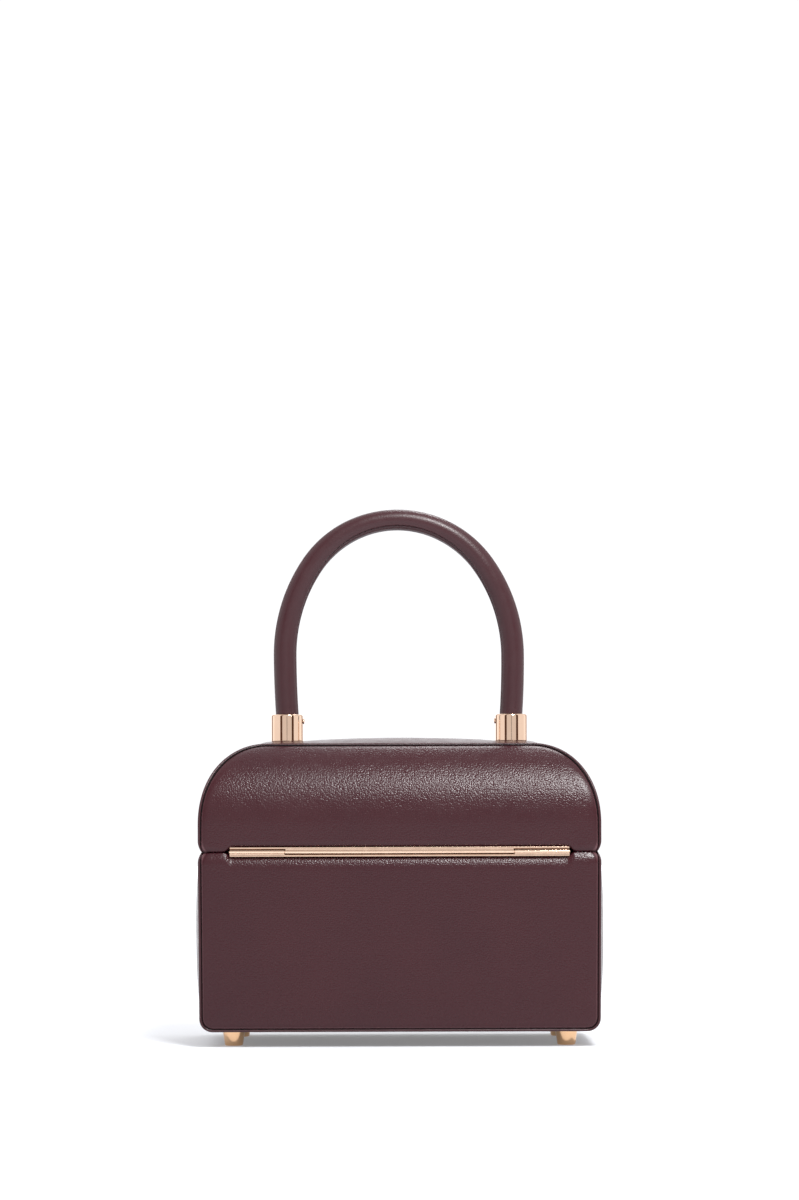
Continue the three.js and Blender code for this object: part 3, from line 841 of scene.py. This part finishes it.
# %% The two gussets
BOX_SIDE_CROWN, LID_TOP_CROWN, LID_CROWN_HALF, LID_SIDE_CROWN = 3.3, 3.15, 68.5, 0.8
SLEEVE_X, SLEEVE_BOTTOM, SLEEVE_TOP, SLEEVE_RADIUS = 52.0, 138.9, 151.4, 7.4
PRESS_REACH, PRESS_MARGIN, PRESS_DEPTH, PRESS_ABOVE = 15, 0.4, 0.05, 120
STRIP_SETBACK = 1.5 * PIPING_RADIUS


def box_crown(x, z):
    foot = BOX_UNDERSIDE + BOX_CORNER
    t = np.clip((z - foot) / (BOX_MOUTH - foot), 0, 1)
    return BOX_SIDE_CROWN * (1 - abs(2 * t - 1) ** 3)


def lid_crown(x, z):
    height = min(1.0, (z - LID_MOUTH) / (LID_TOP - LID_MOUTH))
    on_top = LID_TOP_CROWN * (1 - (x / LID_CROWN_HALF) ** 2)
    return max(on_top, LID_SIDE_CROWN * math.sin(math.pi * height), 0)


def strip_depth(rise, mouth_round):
    return STRIP_SETBACK * piping_share(rise) + rolled_in(rise, mouth_round)


def box_reach(z):
    return HALF_DEPTH - strip_depth(z - BOX_MOUTH, HALVES["box"].mouth_round)


def lid_reach(z):
    depth = strip_depth(z - LID_MOUTH, HALVES["lid"].mouth_round)
    return on_lid_face(np.zeros_like(z), up_the_leather(z), depth, 1)[:, 1]


def pressed_by_sleeves(points):
    points = points.copy()
    for hand in (-1, 1):
        away = np.hypot(points[:, 0] - hand * SLEEVE_X, points[:, 1])
        close = ease((PRESS_REACH - away) / (PRESS_REACH - SLEEVE_RADIUS - PRESS_MARGIN))
        weight = np.where(points[:, 2] > PRESS_ABOVE, close, 0)
        points[:, 2] += weight * (SLEEVE_BOTTOM - PRESS_DEPTH - points[:, 2])
    return points


box_wrap = gusset("box_wrap", BOX_LINE, BOX_TURN, box_reach, box_crown)
hand_over(box_wrap, "box", ["box_gusset"])
lid_wrap = gusset("lid_wrap", LID_LINE, LID_TURN, lid_reach, lid_crown, pressed_by_sleeves)
hand_over(lid_wrap, "lid", ["lid_gusset"])
print("gusset triangles:", triangles(box_wrap), "and", triangles(lid_wrap))

# %% [markdown]
# ## Geometry Nodes that follow a path
# Piping and handle are leather drawn along a path, which is what Curve to Mesh is
# for. A bevelled curve would do it too, but a path that is a plain mesh of edges
# carries its own thickness, and the direction that the section's first point
# looks in. So one tree serves both: it turns the path into a curve, reads both,
# and sweeps a section along it. The section is a second little mesh, drawn at
# radius one.

# %% Tree: a section swept along a path
def new_tree(name, sockets):
    tree = bpy.data.node_groups.new(name, "GeometryNodeTree")
    tree.interface.new_socket("Geometry", in_out="INPUT", socket_type="NodeSocketGeometry")
    for label, kind in sockets:
        tree.interface.new_socket(label, in_out="INPUT", socket_type=kind)
    tree.interface.new_socket("Geometry", in_out="OUTPUT", socket_type="NodeSocketGeometry")
    return tree, add_node(tree, "NodeGroupInput")


def end_tree(tree, geometry, given):
    real = add_node(tree, "GeometryNodeRealizeInstances", {0: geometry})
    smooth = add_node(tree, "GeometryNodeSetShadeSmooth", {0: real})
    painted = add_node(tree, "GeometryNodeSetMaterial", {0: smooth, "Material": given.outputs["Material"]})
    add_node(tree, "NodeGroupOutput", {0: painted})
    print("tree:", tree.name, "with", len(tree.nodes), "nodes")


sweep_tree, given = new_tree("swept_leather", [
    ("Section", "NodeSocketObject"), ("Radius", "NodeSocketFloat"), ("Material", "NodeSocketMaterial"),
])
path = add_node(sweep_tree, "GeometryNodeMeshToCurve", {0: given})
thickness = add_node(sweep_tree, "GeometryNodeInputNamedAttribute", {
    "Name": "thickness",
}, data_type="FLOAT")
seamward = add_node(sweep_tree, "GeometryNodeInputNamedAttribute", {
    "Name": "seamward",
}, data_type="FLOAT_VECTOR")
aimed = add_node(sweep_tree, "GeometryNodeSetCurveNormal", {0: path, "Normal": seamward}, mode="FREE")
radius = add_node(sweep_tree, "ShaderNodeMath", {
    0: thickness, 1: given.outputs["Radius"],
}, operation="MULTIPLY")
section_info = add_node(sweep_tree, "GeometryNodeObjectInfo", {"Object": given.outputs["Section"]})
section_curve = add_node(sweep_tree, "GeometryNodeMeshToCurve", {0: section_info.outputs["Geometry"]})
swept = add_node(sweep_tree, "GeometryNodeCurveToMesh", {
    0: aimed, "Profile Curve": section_curve, "Scale": radius, "Fill Caps": True,
})
end_tree(sweep_tree, swept, given)

# %% [markdown]
# The modifier's inputs are set by identifier before the object is first
# evaluated, and the result is kept as a plain mesh, because the frame wants
# meshes.

# %% Running a tree
PATH_ATTRIBUTES = ("thickness", "seamward", "turn")


def line_object(name, points_mm, closed=False, **per_point):
    count = len(points_mm)
    edges = [(k, k + 1) for k in range(count - 1)] + ([(count - 1, 0)] if closed else [])
    mesh = bpy.data.meshes.new(name)
    mesh.from_pydata((np.asarray(points_mm, float) * MM).tolist(), edges, [])
    for label, values in per_point.items():
        values = np.asarray(values, float)
        kind, field = ("FLOAT", "value") if values.ndim == 1 else ("FLOAT_VECTOR", "vector")
        mesh.attributes.new(label, kind, "POINT").data.foreach_set(field, values.ravel())
    return add_object(name, mesh)


def section_object(name, ring, size):
    """A closed section at radius one, from the angles of its points and their distance from the middle."""
    points = np.column_stack([size * np.cos(ring), size * np.sin(ring), 0 * ring])
    return line_object(name, points / MM, closed=True)


def run_tree(carrier, tree, name, sharp_deg=50, **values):
    modifier = carrier.modifiers.new(tree.name, "NODES")
    modifier.node_group = tree
    labels = {s.name: s.identifier for s in tree.interface.items_tree if s.in_out == "INPUT"}
    for label, value in values.items():
        modifier[labels[label]] = value
    depsgraph = bpy.context.evaluated_depsgraph_get()
    mesh = bpy.data.meshes.new_from_object(carrier.evaluated_get(depsgraph))
    carrier.modifiers.remove(modifier)
    mesh.name = name
    for attribute in [a.name for a in mesh.attributes if a.name in PATH_ATTRIBUTES]:
        mesh.attributes.remove(mesh.attributes[attribute])
    finish_faces(mesh, sharp_deg)
    return add_object(name, mesh)


def across_path(points, towards):
    """The part of a direction that is square to the path, at each of its points."""
    ahead = unit(np.gradient(points, axis=0))
    return unit(towards - np.sum(towards * ahead, axis=1)[:, None] * ahead)


def put_away(*helpers):
    for helper in helpers:
        bpy.data.objects.remove(helper)


print("attributes that a path can carry:", PATH_ATTRIBUTES)

# %% [markdown]
# ## Piping
# A strip of the same leather is folded round a thin cord and caught in every
# seam between panel and gusset. Beside it, the panel's raw edge is dyed nearly
# black, which draws a fine dark outline round each face of the bag. A dark stripe
# in the material could stand for that edge, but a thin line of its own stays
# crisp. It is thicker on the rolled part of the lid, where the seam opens.

# %% The four pipings and the dyed edges beside them
DYED_RADIUS, DYED_DEPTH = 0.18, 0.3
DYED_WIDENS, DYED_WIDEN_RUN = 1, 20
ROUND_SIDES = 20
ring = np.linspace(0, 2 * np.pi, ROUND_SIDES, endpoint=False)
round_section = section_object("round_section", ring, np.ones(ROUND_SIDES))


def sweep_seam(name, half, facing, inwards, depth, radius, leather, widens=0):
    """A round section along a seam; inwards and depth place it, from the piping's share at each point."""
    rise = half.seam[:, 1] - half.mouth
    share = piping_share(rise)
    path = inset(half.seam, half.turn, inwards(share))
    points = half.on_face(path[:, 0], path[:, 1], depth(share) + rolled_in(rise, half.mouth_round), facing)
    outward = across_path(points, np.tile([0.0, facing, 0.0], (len(points), 1)))
    rolled = np.clip((points[:, 2] - ROLL_START) / DYED_WIDEN_RUN, 0, 1)
    carrier = line_object("seam_path", points, thickness=share * (1 + widens * rolled), seamward=outward)
    made = run_tree(carrier, sweep_tree, name, Section=round_section, Radius=radius * MM, Material=leather)
    put_away(carrier)
    return made


def piping_place(share):
    return PIPING_RADIUS * share


def dyed_inwards(share):
    return 2 * PIPING_RADIUS * share + SEAM_GAP / 2


def dyed_depth(share):
    return DYED_DEPTH


for facing, row in SIDES:
    for body, half in HALVES.items():
        piping = sweep_seam(f"{body}_{row}_cord_edge", half, facing, piping_place, piping_place,
                            PIPING_RADIUS, roll_calf)
        hand_over(piping, body, [f"{body}_{row}_piping"])
        dyed = sweep_seam(f"{body}_{row}_dyed_seam", half, facing, dyed_inwards, dyed_depth,
                          DYED_RADIUS, dyed_edge, widens=DYED_WIDENS)
        hand_over(dyed, body)
        print(piping.name, "triangles:", triangles(piping), "and beside it:", triangles(dyed))

# %% [markdown]
# ## Handle
# Leather is rolled round a stiff cord core and sewn shut along the inside of the
# arch. Its middle line could be one smooth curve through a few points, but arcs
# keep the photo's proportions exactly: it is straight in the sleeves, leans in a
# little at the legs and closes over two arcs on each side. Like any used handle,
# it leans, by under a millimetre, and is a little thinner at the top.

# %% Handle path
APEX, CROWN_RADIUS, CROWN_ANGLE = 241.7, 48.3, math.radians(55)
HALF_SPAN, FOOT_SPAN, LEG_RADIUS, TOP_RADIUS = 52.9, 52.0, 5.25, 4.85
SLEEVE_FLOOR, END_GAP = 3.4, 0.4
LEAN, THIN_SHARE, PATH_STEP = -0.75, 0.22, 1.2

flank_radius = (HALF_SPAN - CROWN_RADIUS * math.sin(CROWN_ANGLE)) / (1 - math.sin(CROWN_ANGLE))
widest = APEX - CROWN_RADIUS + (CROWN_RADIUS - flank_radius) * math.cos(CROWN_ANGLE)
swing = np.linspace(0, CROWN_ANGLE, 60)
crown = np.column_stack([CROWN_RADIUS * np.sin(swing), APEX - CROWN_RADIUS * (1 - np.cos(swing))])
swing = np.linspace(math.pi / 2 - CROWN_ANGLE, 0, 50)
flank_across = HALF_SPAN - flank_radius * (1 - np.cos(swing))
flank = np.column_stack([flank_across, widest + flank_radius * np.sin(swing)])
t = np.linspace(0, 1, 30)
leg = np.column_stack([HALF_SPAN - (HALF_SPAN - FOOT_SPAN) * t * t, widest + (SLEEVE_TOP - widest) * t])
stub = [(FOOT_SPAN, SLEEVE_BOTTOM + SLEEVE_FLOOR + END_GAP)]
arch = resample(both_sides(np.vstack([crown, flank[1:], leg[1:], stub])), PATH_STEP)
arch[:, 0] += LEAN * np.clip((arch[:, 1] - SLEEVE_TOP) / (APEX - SLEEVE_TOP), 0, 1) ** 2
arch_3d = np.column_stack([arch[:, 0], 0 * arch[:, 0], arch[:, 1]])
way = np.linspace(-1, 1, len(arch))
handle_radius = LEG_RADIUS - (LEG_RADIUS - TOP_RADIUS) * np.exp(-(way / THIN_SHARE) ** 2)
print("handle length in mm:", round(run_along(arch)[-1]))

# %% [markdown]
# The section has a shallow groove where the two edges meet, with a raised lip on
# each side. A twist brings the groove towards the back near the top, as the photo
# shows. The groove sits at a known turn of the section, so the stitches can be
# laid in it: the same turn, measured from the inside of the arch, places each
# point of the thread's path on the leather.

# %% Sweep the handle
SEAM_TOWARDS_BACK, TWIST_SHARE = math.radians(48), 0.55
GROOVE_DEPTH, GROOVE_HALF_ANGLE = 0.07, 0.10
LIP_HEIGHT, LIP_ANGLE, LIP_HALF_ANGLE = 0.022, 0.22, 0.1
ROUND_FROM, ROUND_POINTS, GROOVE_POINTS = 0.25, 52, 15

round_part = np.linspace(ROUND_FROM, 2 * np.pi - ROUND_FROM, ROUND_POINTS)
ring = np.sort(np.concatenate([round_part, np.linspace(-LIP_ANGLE, LIP_ANGLE, GROOVE_POINTS)]))
dent = GROOVE_DEPTH * np.exp(-(ring / GROOVE_HALF_ANGLE) ** 2)
lip = LIP_HEIGHT * np.exp(-((np.abs(ring) - LIP_ANGLE) / LIP_HALF_ANGLE) ** 2)
section = section_object("handle_section", ring, 1 - dent + lip)
seam_turn = (SEAM_TOWARDS_BACK * np.exp(-(way / TWIST_SHARE) ** 2))[:, None]
ahead = unit(np.gradient(arch, axis=0))
inside = np.column_stack([ahead[:, 1], 0 * ahead[:, 0], -ahead[:, 0]])
seamward = np.cos(seam_turn) * inside + np.sin(seam_turn) * np.array([0, -1, 0])
carrier = line_object("handle_path", arch_3d, thickness=handle_radius * MM, seamward=seamward)
handle = run_tree(carrier, sweep_tree, "rolled_handle", Section=section, Radius=1.0, Material=roll_calf)
hand_over(handle, "lid", ["handle"])
put_away(carrier, section, round_section)
print("handle triangles:", triangles(handle))

# %% [markdown]
# ## Stitches along a path
# A row of saddle stitches closes the groove. An array along a curve would bend
# the stitches, so a second tree lays one small shape along a path at an even
# pitch, each turned to follow the path. One stitch is a short spindle of thread,
# sunk at both ends.

# %% Tree: shapes laid along a path
lay_tree, given = new_tree("laid_along_path", [
    ("Shape", "NodeSocketObject"), ("Pitch", "NodeSocketFloat"), ("Material", "NodeSocketMaterial"),
])
path = add_node(lay_tree, "GeometryNodeMeshToCurve", {0: given})
spaced = add_node(lay_tree, "GeometryNodeResampleCurve", {
    0: path, "Length": given.outputs["Pitch"],
}, mode="LENGTH")
heading = add_node(lay_tree, "GeometryNodeInputTangent")
along_path = add_node(lay_tree, "FunctionNodeAlignRotationToVector", {"Vector": heading}, axis="X")
shape_info = add_node(lay_tree, "GeometryNodeObjectInfo", {"Object": given.outputs["Shape"]})
laid = add_node(lay_tree, "GeometryNodeInstanceOnPoints", {
    "Points": spaced, "Instance": shape_info.outputs["Geometry"], "Rotation": along_path,
})
end_tree(lay_tree, laid, given)

# %% Handle stitches
STITCH_LENGTH, STITCH_RADIUS, STITCH_PITCH = 2.1, 0.26, 2.9
STITCH_LIFT, STITCH_START, STITCH_SHARP = 0.12, 1.5, 80
STITCH_ROWS, STITCH_SIDES, STITCH_TIP = 7, 8, 0.02

lift = (handle_radius * (1 - GROOVE_DEPTH) + STITCH_LIFT)[:, None]
seam_path = (arch_3d + lift * seamward)[arch[:, 1] > SLEEVE_TOP + STITCH_START]
stitch_points = []
for share in np.linspace(-1, 1, STITCH_ROWS):
    thick = STITCH_RADIUS * math.sqrt(max(STITCH_TIP, 1 - share * share))
    for angle in np.linspace(0, 2 * np.pi, STITCH_SIDES, endpoint=False):
        stitch_points.append((share * STITCH_LENGTH / 2, thick * math.cos(angle), thick * math.sin(angle)))
last = len(stitch_points)
stitch_faces = grid_faces(STITCH_ROWS, STITCH_SIDES, closed=True)
stitch_faces += [tuple(range(STITCH_SIDES)), tuple(range(last - STITCH_SIDES, last))]
stitch = mesh_object("stitch_shape", stitch_points, stitch_faces, [thread], sharp_deg=STITCH_SHARP)
carrier = line_object("stitch_path", seam_path)
stitches = run_tree(carrier, lay_tree, "handle_stitches", STITCH_SHARP,
                    Shape=stitch, Pitch=STITCH_PITCH * MM, Material=thread)
hand_over(stitches, "lid")
put_away(carrier, stitch)
print("stitch triangles:", triangles(stitches))

# %% [markdown]
# ## Turned metal
# Feet, sleeves and screw heads are turned on a lathe, so each is a profile of
# radius and height spun round an axis. A bevelled cylinder would round every edge
# alike; a profile gives each edge its own radius. A third tree sets the finished
# shape at each point of a small mesh, with a turn read from the point, so the two
# screws face each other.

# %% Lathe and the tree that repeats its work
SUPPORT, LONG_RUN = 0.08, 6
LATHE_SHARP = 40


def supported(profile):
    """The profile with a point close to each end of a long run, so that shading bends only at the edges."""
    full = [profile[0]]
    for a, b in zip(profile[:-1], profile[1:]):
        long = np.linalg.norm(b - a)
        if long > LONG_RUN * SUPPORT:
            full += [a + (b - a) * SUPPORT / long, b + (a - b) * SUPPORT / long]
        full.append(b)
    return np.array(full)


def turned(name, profile, segments=64):
    profile = supported(np.asarray(profile, float))
    spin = np.linspace(0, 2 * np.pi, segments, endpoint=False)
    points = np.array([(r * math.cos(a), r * math.sin(a), z) for r, z in profile for a in spin])
    faces = grid_faces(len(profile), segments, closed=True)
    return mesh_object(name, points, faces, [rose_gold], sharp_deg=LATHE_SHARP)


def rounded_corner(centre, radius, start_deg, end_deg, count=6):
    swing = np.radians(np.linspace(start_deg, end_deg, count))
    return [(centre[0] + radius * math.cos(a), centre[1] + radius * math.sin(a)) for a in swing]


set_tree, given = new_tree("set_at_points", [
    ("Shape", "NodeSocketObject"), ("Material", "NodeSocketMaterial"),
])
turn_of = add_node(set_tree, "GeometryNodeInputNamedAttribute", {"Name": "turn"}, data_type="FLOAT")
about_z = add_node(set_tree, "ShaderNodeCombineXYZ", {"Z": turn_of})
facing_turn = add_node(set_tree, "FunctionNodeEulerToRotation", {0: about_z})
shape_info = add_node(set_tree, "GeometryNodeObjectInfo", {"Object": given.outputs["Shape"]})
set_out = add_node(set_tree, "GeometryNodeInstanceOnPoints", {
    "Points": given, "Instance": shape_info.outputs["Geometry"], "Rotation": facing_turn,
})
end_tree(set_tree, set_out, given)


def set_at(shape, name, body, places, turns, nodes, metal=rose_gold):
    carrier = line_object("places", places, turn=turns)
    made = run_tree(carrier, set_tree, name, LATHE_SHARP, Shape=shape, Material=metal)
    put_away(carrier, shape)
    return hand_over(made, body, nodes)


# %% [markdown]
# ## Feet, sleeves and screws
# The feet taper towards the floor and have a soft edge and a short straight rim.
# A sleeve is a plain mirror cylinder with a rounded shoulder and a bore that
# swallows the handle's end. A small domed screw in its inner side pins the
# handle. Each sinks a hair into what carries it, so that no light shows between.

# %% Feet
FOOT_X, FOOT_Y, FOOT_TOP, FOOT_BOTTOM, FOOT_EDGE = 75.6, 29.0, 5.0, 4.2, 0.7
FOOT_SUNK, RIM_HEIGHT, RIM_STARTS, RIM_STEP = 0.05, 0.7, 1.0, 0.05

foot_height = BOX_UNDERSIDE + FOOT_SUNK
foot_profile = [(0, 0)] + rounded_corner((FOOT_BOTTOM - FOOT_EDGE, FOOT_EDGE), FOOT_EDGE, -90, -5)
foot_profile += [(FOOT_TOP - RIM_STEP, foot_height - RIM_STARTS), (FOOT_TOP, foot_height - RIM_HEIGHT)]
foot_profile += [(FOOT_TOP, foot_height), (0, foot_height)]
foot_places = [(x * FOOT_X, y * FOOT_Y, 0) for y in (-1, 1) for x in (-1, 1)]
foot_nodes = [f"foot_{row}_{hand}" for row in ("back", "front") for hand in ("left", "right")]
foot = turned("foot_shape", foot_profile)
# the feet take the metal copy that carries painted shade
feet = set_at(foot, "turned_feet", "box", foot_places, [0] * len(foot_places), foot_nodes, metal=shaded_foot_gold)
print("feet stand between mm:", [round(c[2] / MM, 2) for c in (feet.bound_box[0], feet.bound_box[6])])

# %% Sleeves and screws
SLEEVE_EDGE, SLEEVE_SUNK, SLEEVE_EASE, SLEEVE_STARTS = 0.9, 0.1, 0.25, 0.2
BORE_ROOM, BORE_EDGE = 0.12, 0.3
SCREW_Z, SCREW_RADIUS, SCREW_HEIGHT, SCREW_BASE, SCREW_SUNK = 148.3, 1.3, 0.75, 0.25, 0.05
DOME_STARTS = 0.15

tall = SLEEVE_TOP - SLEEVE_BOTTOM
bore = LEG_RADIUS + BORE_ROOM
sleeve_profile = [(0, -SLEEVE_SUNK), (SLEEVE_RADIUS - SLEEVE_EASE, -SLEEVE_SUNK)]
sleeve_profile += [(SLEEVE_RADIUS, SLEEVE_STARTS)]
sleeve_profile += rounded_corner((SLEEVE_RADIUS - SLEEVE_EDGE, tall - SLEEVE_EDGE), SLEEVE_EDGE, 0, 90, 8)
sleeve_profile += rounded_corner((bore + BORE_EDGE, tall - BORE_EDGE), BORE_EDGE, 90, 180, 4)
sleeve_profile += [(bore, SLEEVE_FLOOR), (0, SLEEVE_FLOOR)]
sleeve_places = [(hand * SLEEVE_X, 0, SLEEVE_BOTTOM) for hand in (-1, 1)]
sleeve_shape = turned("sleeve_shape", sleeve_profile, 96)
sleeves = set_at(sleeve_shape, "handle_sleeves", "lid", sleeve_places, [0, 0],
                 ["handle_sleeve_left", "handle_sleeve_right"])

screw_profile = [(0, 0), (SCREW_RADIUS, 0), (SCREW_RADIUS, SCREW_BASE)]
for angle in np.linspace(DOME_STARTS, math.pi / 2, 7):
    dome = SCREW_BASE + (SCREW_HEIGHT - SCREW_BASE) * math.sin(angle)
    screw_profile.append((SCREW_RADIUS * math.cos(angle), dome))
screw_shape = turned("screw_shape", screw_profile, 32)
for vertex in screw_shape.data.vertices:
    vertex.co = (vertex.co.z, vertex.co.y, -vertex.co.x)
screw_places = [(hand * (SLEEVE_X - SLEEVE_RADIUS + SCREW_SUNK), 0, SCREW_Z) for hand in (-1, 1)]
screws = set_at(screw_shape, "sleeve_screws", "lid", screw_places, [0, math.pi],
                ["sleeve_screw_left", "sleeve_screw_right"])
print("sleeve and screw triangles:", triangles(sleeves), triangles(screws))

# %% [markdown]
# ## Piano hinge
# Two strips of rolled brass face each other between lid and box, and each curls
# round the pin: the box's strip at the two ends, the lid's strip in the middle. A
# narrow web stands behind each barrel. A boolean could melt strip, webs and barrels
# into one, but with shapes this thin its result changes from run to run. So they
# stay closed shapes in one mesh.

# %% Hinge shapes
HINGE_Y = -44.9
BARREL, BORE, BARREL_EDGE, BARREL_SIDES = 0.8, 0.6, 0.12, 48
STRIP_EDGE = 0.15


def along_x(shape, x0):
    """Lays a turned shape along the hinge's axis."""
    for vertex in shape.data.vertices:
        x, y, z = vertex.co
        vertex.co = (x0 * MM + z, HINGE_Y * MM + y, HINGE_Z * MM - x)
    return shape


def barrel(x0, x1):
    long, soft = x1 - x0, BARREL_EDGE
    loop = [(BORE, soft), (BORE + soft, 0), (BARREL - soft, 0), (BARREL, soft), (BARREL, long - soft),
            (BARREL - soft, long), (BORE + soft, long), (BORE, long - soft), (BORE, soft)]
    return along_x(turned("barrel_shape", loop, BARREL_SIDES), x0)


def strip(x0, x1, y0, y1, z0, z1):
    corners = np.array([(x, y, z) for x in (x0, x1) for y in (y0, y1) for z in (z0, z1)])
    sides = [(0, 1, 3, 2), (4, 6, 7, 5), (0, 4, 5, 1), (2, 3, 7, 6), (0, 2, 6, 4), (1, 5, 7, 3)]
    made = mesh_object("strip_shape", corners, sides, [rose_gold])
    shape = bmesh.new()
    shape.from_mesh(made.data)
    bmesh.ops.bevel(shape, geom=shape.edges, offset=STRIP_EDGE * MM, segments=1, affect="EDGES", profile=0.5)
    shape.to_mesh(made.data)
    shape.free()
    return made


print("hinge axis in mm:", HINGE_Y, HINGE_Z)

# %% Hinge leaves and pin
HINGE_HALF, MIDDLE_HALF, KNUCKLE_GAP = 76.5, 51.5, 0.3
LEAF_NEAR, LEAF_FAR, LEAF_FRONT, LEAF_DEPTH, LEAF_SHARP = 1.25, 2.2, 0.8, 6.5, 20
WEB_IN, WEB_OVER, WEB_FRONT, WEB_BACK, WEB_SHORT = 0.05, 0.4, 0.4, 1.4, 0.05
PIN, PIN_NOSE, PIN_DOME, PIN_STRAIGHT, PIN_TIP = 0.5, 0.6, 0.25, 0.05, 0.35


def leaf(name, body, node, up, spans):
    low, high = sorted((HINGE_Z + up * LEAF_NEAR, HINGE_Z + up * LEAF_FAR))
    made = strip(-HINGE_HALF, HINGE_HALF, HINGE_Y + LEAF_FRONT, HINGE_Y + LEAF_DEPTH, low, high)
    made.name = name
    helpers = []
    low, high = sorted((HINGE_Z + up * (BORE + WEB_IN), HINGE_Z + up * (LEAF_NEAR + WEB_OVER)))
    for x0, x1 in spans:
        web = strip(x0 + WEB_SHORT, x1 - WEB_SHORT, HINGE_Y + WEB_FRONT, HINGE_Y + WEB_BACK, low, high)
        helpers += [barrel(x0, x1), web]
    shape = bmesh.new()
    for part in (made, *helpers):
        shape.from_mesh(part.data)
    shape.to_mesh(made.data)
    shape.free()
    made.data.polygons.foreach_set("use_smooth", [True] * len(made.data.polygons))
    made.data.set_sharp_from_angle(angle=math.radians(LEAF_SHARP))
    put_away(*helpers)
    return hand_over(made, body, [node])


ends = [(-HINGE_HALF, -MIDDLE_HALF - KNUCKLE_GAP), (MIDDLE_HALF + KNUCKLE_GAP, HINGE_HALF)]
box_leaf = leaf("hinge_strip_of_box", "box", "hinge_box_leaf", -1, ends)
lid_leaf = leaf("hinge_strip_of_lid", "lid", "hinge_lid_leaf", 1, [(-MIDDLE_HALF, MIDDLE_HALF)])
start = [(0, -PIN_TIP), (PIN * PIN_NOSE, -PIN_DOME), (PIN, PIN_STRAIGHT)]
domed = start + [(r, 2 * HINGE_HALF - z) for r, z in start[::-1]]
pin = along_x(turned("hinge_rod", domed, 32), -HINGE_HALF)
hand_over(pin, "box", ["hinge_pin"])
print("hinge triangles:", [triangles(piece) for piece in (box_leaf, lid_leaf, pin)])

# %% [markdown]
# ## Clasp
# The front is hidden in the photo. One plain rounded plate hangs from the lid
# over the mouth, with a softly domed face, in the same metal. It is built in
# layers of one outline, because a bevel can't give the face its low dome.

# %% Clasp
CLASP_HALF, CLASP_LOW, CLASP_HIGH, CLASP_CORNER, CORNER_POINTS = 9.0, 78.0, 98.0, 4.0, 14
CLASP_SHARP = 45
# Each layer is a share of the outline and how far out it lies, from the back's middle to the face's middle.
CLASP_LAYERS = [
    (0, 44.2), (0.96, 44.2), (1, 44.35), (1, 45.35), (0.985, 45.6),
    (0.955, 45.76), (0.9, 45.85), (0.7, 45.93), (0.4, 45.98), (0, 46.0),
]

middle_z, half_high = (CLASP_LOW + CLASP_HIGH) / 2, (CLASP_HIGH - CLASP_LOW) / 2
corner_middle = (CLASP_HALF - CLASP_CORNER, half_high - CLASP_CORNER)
quarter = np.array(rounded_corner(corner_middle, CLASP_CORNER, 0, 90, CORNER_POINTS))
outline = np.vstack([quarter, quarter[::-1] * (-1, 1), -quarter, quarter[::-1] * (1, -1)])
points = np.vstack([
    np.column_stack([outline[:, 0] * share, np.full(len(outline), out), middle_z + outline[:, 1] * share])
    for share, out in CLASP_LAYERS
])
clasp_faces = grid_faces(len(CLASP_LAYERS), len(outline), closed=True)
clasp = mesh_object("plain_clasp", points, clasp_faces, [rose_gold], sharp_deg=CLASP_SHARP)
hand_over(clasp, "lid", ["front_clasp"])
print("clasp triangles:", triangles(clasp))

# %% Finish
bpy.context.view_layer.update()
